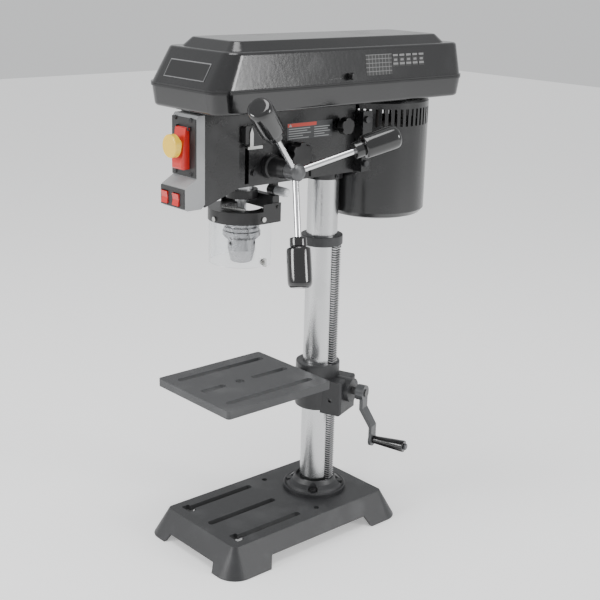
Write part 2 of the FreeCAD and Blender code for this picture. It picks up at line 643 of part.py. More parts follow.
# ============================================================================== head
def head_casting():
    body = body_named("head_casting")
    outline = polygon(body_sketch(body, "XY", "head_low"), [
        ("-head_half", "head_front"), ("head_half", "head_front"),
        ("head_half", "head_rear"), ("-head_half", "head_rear")])
    pad(body, outline, "head_top - head_low")
    root = polygon(body_sketch(body, "XZ", "-head_front"), [
        ("-head_half", "head_low"), ("head_half", "head_low"),
        ("head_half", "head_top"), ("-head_half", "head_top")])
    nose = polygon(body_sketch(body, "XZ", "-nose_front"), [
        ("-nose_half", "nose_low"), ("nose_half", "nose_low"),
        ("nose_half", "box_top + 1"), ("-nose_half", "box_top + 1")])
    loft(body, [root, nose])
    ring = circle(body_sketch(body, "XY", "head_low + 1"), 0, 0, "clamp_ring")
    pad(body, ring, "clamp_ring_tall + 1", back=True)
    boss = circle(body_sketch(body, "YZ", "head_half - 1"), "feed_y", "feed_z", "feed_flange")
    pad(body, boss, "feed_flange_out + 1")
    socket = circle(body_sketch(body, "XY", "head_low - clamp_ring_tall"), 0, 0, "column_hole")
    pocket(body, socket, "column_top - head_low + clamp_ring_tall", back=True)
    bore = circle(body_sketch(body, "XY", "head_top"), 0, "spindle_y", "quill_hole")
    pocket(body, bore)
    keyway = polygon(body_sketch(body, "XY", "nose_low - 1"), [
        ("-key_half - gap", "key_front - gap"), ("key_half + gap", "key_front - gap"),
        ("key_half + gap", "spindle_y"), ("-key_half - gap", "spindle_y")])
    pocket(body, keyway, "head_top - 10 - nose_low", back=True)
    slot = polygon(body_sketch(body, "YZ", "head_half + 1"), [
        ("depth_slot_y - depth_slot_wide / 2", "depth_slot_low"),
        ("depth_slot_y + depth_slot_wide / 2", "depth_slot_low"),
        ("depth_slot_y + depth_slot_wide / 2", "depth_slot_high"),
        ("depth_slot_y - depth_slot_wide / 2", "depth_slot_high")])
    pocket(body, slot, "head_half + 1")
    feed = circle(body_sketch(body, "YZ"), "feed_y", "feed_z", "feed_shaft_radius + fit")
    pocket(body, feed, both=True)
    chamber = polygon(body_sketch(body, "XY", "head_top"), [
        ("head_wall - head_half", "feed_y + 22"), ("head_half - head_wall", "feed_y + 22"),
        ("head_half - head_wall", "-column_hole - 5"), ("head_wall - head_half", "-column_hole - 5")])
    pocket(body, chamber, "head_top - head_low - head_floor")
    loft_room = polygon(body_sketch(body, "XY", "head_top"), [
        ("head_wall - head_half", "-column_hole - 6"), ("head_half - head_wall", "-column_hole - 6"),
        ("head_half - head_wall", "head_rear - head_wall"),
        ("head_wall - head_half", "head_rear - head_wall")])
    pocket(body, loft_room, "head_top - column_top - 4")
    nose_room = polygon(body_sketch(body, "XZ", "-nose_front"), [
        ("head_wall - nose_half", "nose_low + 22"), ("nose_half - head_wall", "nose_low + 22"),
        ("nose_half - head_wall", "head_top - 12"), ("head_wall - nose_half", "head_top - 12")])
    pocket(body, nose_room, "key_front - nose_front - head_wall")
    for side in ("-", ""):
        rod = circle(body_sketch(body, "XZ", "-head_rear - 1"), f"{side}slide_x", "slide_z",
                     "slide_radius + fit")
        pocket(body, rod, "head_wall + 4", back=True)
    for y, z, hole in (("tension_y", "tension_z", "4 + fit"), ("lock_y", "slide_z", "3 + fit"),
                       ("lever_y", "lever_z", "3 + fit")):
        stud = circle(body_sketch(body, "YZ", "head_half + 1"), y, z, hole)
        pocket(body, stud, "head_wall + 2")
    screw = circle(body_sketch(body, "YZ"), 0, "head_low - clamp_ring_tall / 2", "3 + fit")
    pocket(body, screw, both=True)
    lock = circle(body_sketch(body, "YZ", "head_half + 1"), "depth_slot_y + 12",
                  "depth_slot_low + 14", "2 + fit")
    pocket(body, lock, 9)


def head_screws():
    """Set screws of the clamp ring and the collar, the depth lock and the panel screws."""
    ring_z = "head_low - clamp_ring_tall / 2"
    screws = []
    for along, start, z in (("X", "column_hole + gap", ring_z),
                            ("-X", "-column_hole - gap", ring_z),
                            ("-X", "-column_hole - gap", "collar_low + 10")):
        head = "clamp_ring" if z == ring_z else "collar_radius"
        long = f"{head} + 2 - column_hole - gap"
        screw = cylinder(3, long, start, 0, z, along)
        tip = f"{head} + 0.5" if along == "X" else f"-({head}) - 0.5"
        screws.append(cut(screw, prism(1.6, 3, tip, 0, z, along)))
    lock_y, lock_z = "depth_slot_y + 12", "depth_slot_low + 14"
    screws.append(fuse(cylinder(2, 8, "head_half - 6", lock_y, lock_z, "X"),
                       cylinder(3.6, 3, "head_half + gap / 3", lock_y, lock_z, "X")))
    for x in (-17.5, 17.5):
        for z in (592, 665):
            face = "box_front - panel_thick"
            screws.append(cut(
                fuse(cylinder(1.6, 9, x, f"{face} - 0.5", z, "Y"),
                     cone(3.3, 2.6, 1.8, x, f"{face} - 0.02", z, "-Y")),
                span(f"{x} - 2.2", f"{x} + 2.2", f"{face} - 2.5", f"{face} - 1.1",
                     f"{z} - 0.4", f"{z} + 0.4")))
    node("head_screws", bundle(*screws))


def spring_cup():
    wall = 3
    shell = cylinder("spring_cup", "spring_cup_long", "-head_half", "feed_y", "feed_z", "-X")
    shell = soften_part(shell, 3, lambda edge: edge.BoundBox.XMax < -size("head_half") - 9
                        and edge.Length > 60)
    node("spring_cup", cut(
        shell,
        cylinder(f"spring_cup - {wall}", f"spring_cup_long - {wall} + 1", "1 - head_half",
                 "feed_y", "feed_z", "-X"),
        cylinder("feed_neck + fit", "spring_cup_long + 2", "1 - head_half", "feed_y",
                 "feed_z", "-X")))


def return_spring():
    """A flat spiral ribbon wound between the feed shaft and its cup."""
    inner, thick, coils, steps = size("feed_neck") + 0.4, 0.7, 7, 24
    outer = size("spring_cup") - 3.4
    rise = (outer - inner - thick) / (coils * steps)
    near, far = [], []
    for i in range(coils * steps + 1):
        angle = 2 * math.pi * i / steps
        radius = inner + rise * i
        near.append(V(0, radius * math.cos(angle), radius * math.sin(angle)))
        far.append(V(0, (radius + thick) * math.cos(angle), (radius + thick) * math.sin(angle)))
    spots = near + far[::-1]
    ribbon = Part.Face(Part.makePolygon(spots + spots[:1])).extrude(V(10, 0, 0))
    thing = shaped("Spiral", ribbon)
    node("return_spring", put(thing, "-head_half - 12", "feed_y", "feed_z",
                              FreeCAD.Rotation()))


def depth_stop_block():
    plate = span("head_half", "head_half + 9", "depth_slot_y - 10", "depth_slot_y + 22",
                 "depth_slot_high + 3.5", "depth_slot_high + 28")
    rounded_block = soften_part(plate, 2, lambda edge: edge.BoundBox.XLength > 8.9)
    screw = cylinder("2.2", 3, "head_half + 8", "depth_slot_y + 16", "depth_slot_high + 20", "X")
    node("depth_stop_block", fuse(rounded_block, screw))


def depth_pointer():
    """A pin from the quill's key through the slot, with its bar and arrow outside."""
    y, z = "depth_slot_y", "depth_slot_high - 1.9"
    face = "head_half + 9 + gap"
    node("depth_pointer", fuse(
        cylinder(1.8, f"({face}) - key_half + 0.5", "key_half", y, z, "X"),
        span(face, "head_half + 11", f"{y} - 7", f"{y} + 19", f"({z}) - 2", f"({z}) + 2"),
        extrude([(f"{y} - 3", f"({z}) + 1"), (f"{y} + 3", f"({z}) + 1"),
                 (f"{y} + 3", f"({z}) + 20"), (y, f"({z}) + 28"), (f"{y} - 3", f"({z}) + 20")],
                "YZ", face, "head_half + 10.5")))


def work_lamp():
    """A lamp bulb lying across the head's underside behind the quill."""
    y, z = "lamp_y", "lamp_z"
    bulb = soften_part(cylinder("lamp_radius", 26, 14, y, z, "X"), 2.5,
                       lambda edge: edge.BoundBox.XMin > 39)
    socket = fuse(cylinder("lamp_radius + 1", 14, 0, y, z, "X"),
                  span(2, 12, f"{y} - 5", f"{y} + 5", z, "head_low"))
    node("work_lamp", bundle(bulb, socket))


# ================================================================ quill and spindle
def quill():
    """The quill sleeve with a rack milled in its back and a guide key in front."""
    pitch = math.pi * size("feed_module")
    y, radius = size("spindle_y"), size("quill_radius")
    low, tall = size("quill_low"), size("quill_tall")
    tube = Part.makeCylinder(radius, tall, V(0, y, low))
    key = Part.makeBox(2 * size("key_half"), 14, 13,
                       V(-size("key_half"), size("key_front"), size("depth_slot_high") - 8))
    shape = tube.fuse(key)
    tip = size("rack_line") + 0.9 * size("feed_module")
    depth = 2.05 * size("feed_module")
    rack_from, rack_to = size("feed_z") - 12, size("feed_z") + size("quill_travel") + 9
    half = size("pinion_half") + 0.5
    shape = shape.cut(Part.makeBox(2 * half, radius, rack_to - rack_from,
                                   V(-half, y + tip, rack_from)))
    start = size("feed_z") - 2 * pitch
    gaps = []
    for outline in rack_gaps(pitch, depth, 0.86, rack_from, rack_to, 1.0, start):
        points = [V(-half, y + tip + out, z) for out, z in outline]
        gaps.append(Part.Face(Part.makePolygon(points + points[:1])).extrude(V(2 * half, 0, 0)))
    shape = shape.cut(Part.makeCompound(gaps))
    tools = [Part.makeCylinder(size("quill_bore"), tall + 2, V(0, y, low - 1))]
    for z in (low - 1, low + tall - size("bearing_tall") - 0.9):
        tools.append(Part.makeCylinder(size("bearing_hole"), size("bearing_tall") + 1.9,
                                       V(0, y, z)))
    node("quill", shaped("Quill", shape.cut(tools)))


def ring_bearing(outer, inner, tall, z):
    return cut(cylinder(outer, tall, 0, "spindle_y", z),
               cylinder(inner, f"({tall}) + 2", 0, "spindle_y", f"({z}) - 1"))


def bearings():
    inner = "spindle_radius + fit"
    node("quill_bearings", bundle(
        ring_bearing("bearing_radius", inner, "bearing_tall", "quill_low + 0.9"),
        ring_bearing("bearing_radius", inner, "bearing_tall", "quill_high - bearing_tall - 0.9")))
    node("head_bearings", bundle(
        ring_bearing("quill_radius", "10 + fit", 5, "quill_high + 2.2"),
        ring_bearing("quill_radius", "10 + fit", 5, "quill_high + 7.6")))


def spindle():
    shaft = cylinder("spindle_radius", "step_low + 48 - chuck_shoulder", 0, "spindle_y",
                     "chuck_shoulder + 2.1")
    shoulder = cylinder(10, 4, 0, "spindle_y", "quill_low - 5")
    node("spindle", fuse(shaft, shoulder))


def jaw_axis(k):
    """The lower centre and the unit direction (up and outwards) of one chuck jaw."""
    lean = math.radians(size("jaw_lean"))
    angle = math.radians(90 + 120 * k)
    out = V(math.cos(angle), math.sin(angle), 0)
    centre = V(0, size("spindle_y"), size("chuck_low") + 1) + out * size("jaw_open")
    return centre, out * math.sin(lean) + V(0, 0, math.cos(lean))


def chuck():
    body = revolve([
        (0, 0), ("chuck_nose - 1", 0), ("chuck_nose", 1), ("chuck_body", "18"),
        ("chuck_body", "chuck_shoulder - chuck_low"), ("chuck_top", "chuck_shoulder - chuck_low"),
        ("chuck_top", "chuck_tall - 3"), ("chuck_top - 3", "chuck_tall"), (0, "chuck_tall")],
        0, "spindle_y", "chuck_low")
    tools = [cylinder("chuck_bore", "chuck_bore_deep + 1", 0, "spindle_y", "chuck_low - 1"),
             cylinder("spindle_radius + fit", "chuck_tall", 0, "spindle_y",
                      "chuck_shoulder + 2")]
    for k in range(3):
        angle = math.radians(30 + 120 * k)
        out = V(math.cos(angle), math.sin(angle), 0)
        centre = V(0, size("spindle_y"), size("sleeve_low") - 6.5)
        hole = Part.makeCylinder(3.1, 8, centre + out * (size("chuck_body") - 7), out)
        tools.append(shaped("KeyHole", hole))
        centre, along = jaw_axis(k)
        radius = size("jaw_radius") + size("fit")
        bore = Part.makeCylinder(radius, size("jaw_long") + 8.5, centre - along * 8, along)
        tools.append(shaped("JawBore", bore))
    node("chuck_body", cut(body, *tools))
    ring = revolve([
        ("chuck_body + fit", 0), ("sleeve_radius - 4", 0), ("sleeve_radius", 4.5),
        ("sleeve_radius", 11), ("sleeve_radius - 1.5", 12.5),
        ("sleeve_radius - 1.5", "chuck_shoulder - sleeve_low - gap"),
        ("chuck_body + fit", "chuck_shoulder - sleeve_low - gap")],
        0, "spindle_y", "sleeve_low")
    teeth = []
    for k in range(int(size("sleeve_teeth"))):
        angle = 2 * math.pi * k / size("sleeve_teeth")
        out = V(math.cos(angle), math.sin(angle), 0)
        foot = V(0, size("spindle_y"), size("sleeve_low") - 0.6) + out * (size("chuck_body") + 1)
        teeth.append(Part.makeCylinder(1.6, 9, foot, out * math.cos(0.6) + V(0, 0, math.sin(0.6))))
    node("chuck_sleeve", cut(ring, shaped("ToothGaps", Part.makeCompound(teeth))))
    for k in range(3):
        centre, along = jaw_axis(k)
        jaw = Part.makeCylinder(size("jaw_radius"), size("jaw_long"), centre, along)
        node(f"chuck_jaw_{k + 1}", shaped("Jaw", jaw))


# ============================================================================== feed
def feed_shaft():
    """The pinion shaft: necks beside the teeth, journals in the head, a hub nose outside."""
    y, z = "feed_y", "feed_z"
    neck = cylinder("feed_neck", "head_half + spring_cup_long + feed_neck_half - 1",
                    "1 - head_half - spring_cup_long", y, z, "X")
    left = cylinder("feed_shaft_radius", "head_half - feed_neck_half - gap",
                    "gap - head_half", y, z, "X")
    right = cylinder("feed_shaft_radius", "hub_out - feed_neck_half + 1", "feed_neck_half",
                     y, z, "X")
    nose = revolve([(0, 0), ("hub_nose", 0), ("hub_nose", 19), ("hub_nose - 2.5", 22.5),
                    ("hub_nose - 7", 24.5), (0, 25)], "hub_out + gap", y, z, "X")
    gear = gear_solid(int(size("feed_teeth")), size("feed_module"), 2 * size("pinion_half"),
                      -90)
    teeth = put(shaped("Pinion", gear), 0, y, z, "X")
    holes = [carried(bundle(cylinder("handle_rod + fit", 20, 0, 0, "rod_start - 0.3")), k)
             for k in range(3)]
    node("feed_shaft", cut(fuse(neck, left, right, nose, teeth), *holes))


def feed_hub():
    profile = [("feed_shaft_radius + fit", 0), ("hub_root", 0), ("hub_root", 7),
               ("hub_radius", 9), ("hub_radius", "hub_out - head_half - feed_flange_out - 12"),
               ("hub_radius - 1.5", "hub_out - head_half - feed_flange_out - gap"),
               ("feed_shaft_radius + fit", "hub_out - head_half - feed_flange_out - gap")]
    node("feed_hub", revolve(profile, "head_half + feed_flange_out + gap", "feed_y", "feed_z",
                             "X"))


def handle_turn(k):
    """The rotation that takes +Z to the direction of one feed handle."""
    lean = math.radians(size("handle_lean"))
    phase = math.radians(size("handle_phase") + 120 * k)
    return FreeCAD.Rotation(V(0, 0, 1), V(
        math.sin(lean), math.cos(lean) * math.cos(phase), math.cos(lean) * math.sin(phase)))


def carried(thing, k):
    """Sets a piece modelled along +Z onto one feed handle's line."""
    thing.Placement = FreeCAD.Placement(
        V(size("hub_centre"), size("feed_y"), size("feed_z")), handle_turn(k))
    return thing


def feed_handles():
    rods, grips = [], []
    for k in range(3):
        rod = cylinder("handle_rod", "grip_from + grip_bite - rod_start", 0, 0, "rod_start")
        rods.append(carried(bundle(rod), k))
        long = "handle_long - grip_from"
        grip = revolve([
            ("handle_rod + fit", 0), ("grip_neck", 0), ("grip_neck", "grip_neck_long"),
            ("grip_radius - 2", "grip_neck_long + 0.5"), ("grip_radius", "grip_neck_long + 3"),
            ("grip_radius + 0.5", f"({long}) * 0.6"), ("grip_radius", f"{long} - 6"),
            ("grip_radius - 3", f"{long} - 2"), ("grip_radius - 8", long), (0, long),
            (0, "grip_bite + 0.5"), ("handle_rod + fit", "grip_bite + 0.5")],
            0, 0, "grip_from")
        grips.append(carried(bundle(grip), k))
    node("feed_rods", bundle(*rods))
    node("feed_grips", bundle(*grips))


# ======================================================================== switch box
def switch_box():
    inner_top, inner_low = "box_top - 3", "box_low + 3"
    back = "nose_front - 0.05"
    outer = extrude([(back, "box_top"), ("box_front + 3", "box_top"),
                     ("box_front", "box_top - 4"), ("box_front", "box_shelf"),
                     ("box_foot_front", "box_step"), ("box_foot_front", "box_low + 3"),
                     ("box_foot_front + 4", "box_low"), ("nose_front - 6", "box_low"),
                     (back, "box_low + 6")], "YZ", "-box_half", "box_half")
    upper = span("3 - box_half", "box_half - 3", "box_front + 3", "nose_front + 1",
                 inner_low, inner_top)
    lower = span("3 - box_half", "box_half - 3", "box_foot_front + 3", "nose_front - 8",
                 inner_low, "box_step - 3")
    holes = [cylinder("1.6 + fit", 12, x, "box_front - 1", z, "Y")
             for x in (-17.5, 17.5) for z in (592, 665)]
    node("switch_box", cut(outer, upper, lower, *holes, *rocker_openings()))


def rocker_openings():
    """The two windows the rockers sit in, through the panel and the box's front."""
    return [span(f"{x} - rocker_wide / 2 - gap", f"{x} + rocker_wide / 2 + gap",
                 "box_foot_front - panel_thick - 1", "box_foot_front + 4",
                 "rocker_low - gap - 0.1", "rocker_low + rocker_tall + gap + 0.1")
            for x in ("rocker_left_x", "rocker_right_x")]


def switch_panels():
    upper = span("0.4 - box_half", "box_half - 0.4", "box_front - panel_thick", "box_front",
                 "box_shelf + 1", "box_top - 4.2")
    ears = []
    for side in (-1, 1):
        inside = f"2 + {side} * (paddle_half + gap)"
        outside = f"2 + {side} * (paddle_half + 3)"
        low, high = (outside, inside) if side < 0 else (inside, outside)
        ears.append(span(low, high, "paddle_pin_y - 2.4", "box_front - panel_thick",
                         "paddle_pin_z - 2.6", "paddle_pin_z + 2.6"))
    pin = cylinder("1.2 + fit", "2 * box_half", "-box_half", "paddle_pin_y", "paddle_pin_z", "X")
    lower = span("0.4 - box_half", "box_half - 0.4", "box_foot_front - panel_thick",
                 "box_foot_front", "box_low + 3.2", "box_step - 1")
    holes = [cylinder("1.6 + fit", 6, x, "box_front - panel_thick - 1", z, "Y")
             for x in (-17.5, 17.5) for z in (592, 665)]
    node("switch_panels", bundle(cut(fuse(upper, *ears), pin, *holes),
                                 cut(lower, *rocker_openings())))


def switch_parts():
    front = "box_front - panel_thick - 0.4"
    plate = extrude([(front, "paddle_low"), (front, "paddle_high"),
                     ("paddle_front + 7", "paddle_high"), ("paddle_front", "paddle_low + 9"),
                     ("paddle_front", "paddle_low")], "YZ", "2 - paddle_half",
                    "2 + paddle_half")
    plate = soften_part(plate, 2.5, lambda edge: edge.BoundBox.YMax < size("paddle_front") + 0.1
                        and edge.BoundBox.YLength < 0.1)
    pin = cylinder(1.2, "2 * paddle_half + 5.4", "2 - paddle_half - 2.7", "paddle_pin_y",
                   "paddle_pin_z", "X")
    hole = cylinder("8 + fit", 20, 2, "paddle_front - 1", "button_z", "Y")
    node("stop_paddle", cut(fuse(plate, pin), hole))
    head = soften_part(
        cylinder("button_radius", 9, 2, "paddle_front - button_travel - gap", "button_z", "-Y"),
        2, lambda edge: edge.BoundBox.YMax < size("paddle_front") - 10 and edge.Length > 60)
    stem = cylinder(8, "button_travel + 7", 2, "paddle_front - button_travel - 1", "button_z", "Y")
    node("paddle_button", fuse(head, stem))
    for name, x in (("rocker_left", "rocker_left_x"), ("rocker_right", "rocker_right_x")):
        y, z = "box_foot_front - panel_thick", "rocker_low + rocker_tall / 2"
        node(name, extrude([
            (f"{y} + 7", f"{z} - 7"), (f"{y} + 7", f"{z} + 7"),
            (f"{y} - 1", f"{z} + rocker_tall / 2 - 0.6"),
            (f"{y} - 2.6", f"{z} + rocker_tall / 2 - 0.8"), (f"{y} - 1.2", z),
            (f"{y} - 2.6", f"{z} - rocker_tall / 2 + 0.8"),
            (f"{y} - 1", f"{z} - rocker_tall / 2 + 0.6")],
            "YZ", f"{x} - rocker_wide / 2", f"{x} + rocker_wide / 2"))


# ============================================================== belt case and cover
def knuckle(low, high, y):
    """One barrel of a hinge, lying along Y."""
    return cylinder("hinge_barrel", f"({high}) - ({low})", "hinge_x", f"({y}) + ({low})",
                    "hinge_z", "Y")


def belt_case():
    body = doc.addObject("PartDesign::Body", "CaseTub")
    floor = rounded(body_sketch(body, "XY", "case_low"), "-case_half", "case_half",
                    "case_front", "case_rear", "case_corner")
    pad(body, floor, "case_top - case_low", lean="case_lean")
    lip = rounded(body_sketch(body, "XY", "case_top - lip_tall"), "-lip_half", "lip_half",
                  "lip_front", "lip_rear", "case_corner + case_flare + 1")
    pad(body, lip, "lip_tall")
    soften(body, 5, flat_at(size("case_low")))
    room = rounded(body_sketch(body, "XY", "case_low + case_wall"), "case_wall - case_half",
                   "case_half - case_wall", "case_front + case_wall",
                   "case_rear - case_wall", "case_corner - case_wall")
    pocket(body, room, "case_top - case_low", back=True, lean="case_lean")
    hole = circle(body_sketch(body, "XY", "case_low + 6"), 0, "spindle_y", 14)
    pocket(body, hole, 10)
    slot = rounded(body_sketch(body, "XY", "case_low + 6"), "-motor_shaft - 4",
                   "motor_shaft + 4", "motor_y - motor_shaft - 4",
                   "motor_y + motor_shaft + slide_travel + 4", "motor_shaft + 3")
    pocket(body, slot, 10)
    solids = [body]
    for side in ("-", ""):
        y = f"{side}hinge_y"
        for low, high in ((-16, -6.3), (6.3, 16)):
            solids.append(knuckle(low, high, y))
            solids.append(span("hinge_x", "-lip_half + 1", f"{y} + {low}", f"{y} + {high}",
                               "case_top - 2.6", "case_top - 0.2"))
        solids.append(cylinder("hinge_pin", 34, "hinge_x", f"{y} - 17", "hinge_z", "Y"))
    node("belt_case", fuse(*solids))


def belt_cover():
    body = doc.addObject("PartDesign::Body", "CoverShell")

    def level(height, half, front, rear, corner, inset=0):
        return rounded(body_sketch(body, "XY", height), f"{inset} - ({half})",
                       f"{half} - {inset}", f"{front} + {inset}", f"{rear} - {inset}",
                       f"{corner} - {inset}")

    flare = "case_corner + case_flare"
    loft(body, [level("cover_low", "case_half + case_flare", "case_front - case_flare",
                      "case_rear + case_flare - 1.5", flare),
                level("cover_shoulder", "shoulder_half", "shoulder_front", "shoulder_rear", 20)])
    loft(body, [level("cover_shoulder - 0.5", "plateau_half + plateau_slope",
                      "plateau_front - plateau_slope", "plateau_rear + plateau_slope", 18),
                level("cover_top", "plateau_half", "plateau_front", "plateau_rear", 12)])
    lip = rounded(body_sketch(body, "XY", "cover_low"), "-lip_half", "lip_half", "lip_front",
                  "lip_rear", f"{flare} + 1")
    pad(body, lip, "lip_tall - gap")
    soften(body, 5, shoulder_edge)
    soften(body, 4, flat_at(size("cover_top")))
    loft(body, [level("cover_low - 0.01", "case_half + case_flare", "case_front - case_flare",
                      "case_rear + case_flare - 1.5", flare, 2.4),
                level("cover_shoulder - 2.4", "shoulder_half", "shoulder_front",
                      "shoulder_rear", 20, 3)], removes=True)
    loft(body, [level("cover_shoulder - 3", "plateau_half + plateau_slope",
                      "plateau_front - plateau_slope", "plateau_rear + plateau_slope", 18, 3),
                level("cover_top - 2.4", "plateau_half", "plateau_front", "plateau_rear",
                      12, 2.4)], removes=True)
    latch = circle(body_sketch(body, "YZ", "lip_half + 4"), "latch_y", "latch_z", "2 + fit")
    pocket(body, latch, 14)
    solids = [body]
    for side in ("-", ""):
        y = f"{side}hinge_y"
        barrel = fuse(knuckle(-6, 6, y),
                      span("hinge_x", "1 - lip_half", f"{y} - 6", f"{y} + 6",
                           "cover_low + 0.3", "cover_low + 2.4"))
        solids.append(cut(barrel, cylinder("hinge_pin + fit", 40, "hinge_x", f"{y} - 20",
                                           "hinge_z", "Y")))
    node("belt_cover", fuse(*solids))


def shoulder_edge(edge):
    """Picks the outer edge loop at the cover's shoulder."""
    level = size("cover_shoulder")
    bounds = edge.BoundBox
    if abs(bounds.ZMin - level) > 0.01 or abs(bounds.ZMax - level) > 0.01:
        return False
    reach = max(abs(bounds.XMin), abs(bounds.XMax))
    front, rear = size("shoulder_front") + 1, size("shoulder_rear") - 1
    return (reach > size("shoulder_half") - 1 or bounds.YMin < front or bounds.YMax > rear)


def cover_latch():
    """A quarter-turn latch with its knob outside the cover and its tongue inside."""
    knob = soften_part(cylinder("latch_knob", 8, "lip_half + gap", "latch_y", "latch_z", "X"), 1,
                       lambda edge: edge.Length > 20)
    shank = cylinder(2, 14, "lip_half - 12", "latch_y", "latch_z", "X")
    tongue = span("lip_half - 12", "lip_half - 9.5", "latch_y - 3", "latch_y + 3",
                  "latch_z - 7", "latch_z + 3")
    node("cover_latch", fuse(knob, shank, tongue))


# ============================================================== pulleys, belt, motor
def stepped_pulley(bore, sleeve_low, y, rising):
    """A five-step pulley as one turned outline, with a grooved rim on each step."""
    points = [(bore, f"({sleeve_low}) - step_low"), (10, f"({sleeve_low}) - step_low"), (10, 0)]
    for i in range(int(size("step_count"))):
        grown = i if rising else size("step_count") - 1 - i
        radius, foot = f"step_small + step_gain * {grown}", f"step_tall * {i}"
        for inward, rise in ((0, "0"), (0, "0.9"), (1, "1.2"), (1, "step_tall - 1.2"),
                             (0, "step_tall - 0.9"), (0, "step_tall")):
            points.append((f"{radius} - groove_deep * {inward}", f"{foot} + {rise}"))
    points.append((bore, "step_tall * step_count"))
    return revolve(points, 0, y, "step_low")


def pulleys_and_belt():
    node("spindle_pulley", stepped_pulley("spindle_radius + fit", "quill_high + 2.5",
                                          "spindle_y", True))
    node("motor_pulley", stepped_pulley("motor_shaft + fit", "step_low - 3", "motor_y", False))

    def track(radius, tall, z):
        span_y = "motor_y - spindle_y"
        return fuse(cylinder(radius, tall, 0, "spindle_y", z), cylinder(radius, tall, 0, "motor_y", z),
                    box(f"2 * ({radius})", span_y, tall, f"-({radius})", "spindle_y", z))

    low = "belt_z - belt_tall / 2"
    node("drive_belt", cut(track("belt_line", "belt_tall", low),
                           track("belt_line - belt_thick", "belt_tall + 2", f"{low} - 1")))


def motor():
    wall = "motor_radius - motor_wall"
    shell_low, shell_high = "motor_low + motor_cap_tall", "motor_top - motor_top_cap"
    tube = cut(cylinder("motor_radius", f"({shell_high}) - ({shell_low})", 0, "motor_y",
                        shell_low),
               cylinder(wall, "motor_top - motor_low", 0, "motor_y", "motor_low"))
    count = 2 * int(size("vent_pairs"))
    slits = []
    for i in range(count):
        slit = Part.makeBox(10, size("vent_wide"), size("vent_tall"),
                            V(size("motor_radius") - 6, -size("vent_wide") / 2, 0))
        slit.rotate(V(0, 0, 0), V(0, 0, 1), 360 * (i + 0.5) / count)
        slits.append(slit)
    vents = put(shaped("Vents", Part.makeCompound(slits)), 0, "motor_y", "vent_low")
    node("motor_shell", cut(tube, vents))
    bore = "motor_shaft + fit"
    lower = revolve([(bore, 0), ("motor_radius - 22", 0), ("motor_radius - 6", 5),
                     ("motor_radius", 12), ("motor_radius", "motor_cap_tall"),
                     (wall, "motor_cap_tall"), (f"{wall} - 1", 13), ("motor_radius - 24", 5),
                     (16, 5), (16, 18), (bore, 18)], 0, "motor_y", "motor_low")
    upper = revolve([(bore, "-8"), (16, "-8"), (16, 0), ("motor_radius", 0),
                     ("motor_radius", "motor_top_cap - 4"),
                     ("motor_radius - 4", "motor_top_cap"), (bore, "motor_top_cap")],
                    0, "motor_y", shell_high)
    node("motor_end_caps", bundle(lower, upper))
    node("stator", cut(cylinder(f"{wall} - fit", 80, 0, "motor_y", 545),
                       cylinder(40, 82, 0, "motor_y", 544)))
    plate = span("-saddle_half", "saddle_half", "saddle_front", "saddle_rear", "saddle_low",
                 "saddle_high")
    rods, holes = [], []
    for side in ("-", ""):
        rods.append(cylinder("slide_radius", "saddle_front + 64", f"{side}slide_x", -62,
                             "slide_z", "Y"))
        holes.append(cylinder("slide_radius + fit", 12, f"{side}slide_x", "saddle_front - 1",
                              "slide_z", "Y"))
    bolts, sockets = [], []
    for side, along in (("-", "-X"), ("", "X")):
        face, foot = f"{side}saddle_half", f"{side}(saddle_half - 12)"
        for z in ("saddle_low + 12", "saddle_high - 12"):
            sockets.append(cylinder("3 + fit", 20, foot, "bolt_y", z, along))
            bolts.append(fuse(cylinder(3, 12.5, foot, "bolt_y", z, along),
                              prism(5.2, 4, face, "bolt_y", z, along)))
    node("motor_plate", cut(plate, cylinder("motor_radius + fit", 300, 0, "motor_y", 460),
                            *holes, *sockets))
    node("slide_rods", bundle(*rods))
    node("plate_bolts", bundle(*bolts))
    core = cylinder(39, 80, 0, "motor_y", 545)
    shaft = cylinder("motor_shaft", "742 - motor_low - 9", 0, "motor_y", "motor_low + 9")
    node("rotor", fuse(core, shaft))


# ================================================================== knobs and levers
def lobed(radius, tall, x, y, z, count):
    """A hand knob along X with finger grooves round its rim."""
    reach, groove = size(radius) * 1.12, size(radius) * 0.3
    cuts = []
    for k in range(count):
        angle = 2 * math.pi * k / count
        cuts.append(Part.makeCylinder(groove, 60, V(reach * math.cos(angle),
                                                    reach * math.sin(angle), -1)))
    grooves = put(shaped("Grooves", Part.makeCompound(cuts)), x, y, z, "X")
    disc = soften_part(cylinder(radius, tall, x, y, z, "X"), 2, lambda edge: edge.Length > 60)
    return cut(disc, grooves)


def knobs():
    stub = fuse(lobed("lock_knob", 12, "knob_face", "lock_y", "slide_z", 5),
                cylinder(7, 7, "knob_face - 6", "lock_y", "slide_z", "X"),
                cylinder(3, "knob_face - 25", "slide_x + slide_radius + gap", "lock_y",
                         "slide_z", "X"))
    node("slide_lock_knob", stub)
    node("tension_knob", fuse(lobed("tension_knob", 16, "knob_face", "tension_y",
                                    "tension_z", 7),
                              cylinder(9, 7, "knob_face - 6", "tension_y", "tension_z", "X"),
                              cylinder(4, 16, "knob_face - 15", "tension_y", "tension_z", "X")))
    node("tension_lever", fuse(
        cylinder(3, 25, "head_half - 7", "lever_y", "lever_z", "X"),
        cylinder(5, 6, "head_half + gap", "lever_y", "lever_z", "X"),
        cylinder(5, 5, "head_half + 13", "lever_y", "lever_z", "X"),
        span("head_half + 13", "head_half + 18", "lever_y - 4.5", "lever_y + 4.5",
             "lever_z - 26", "lever_z")))


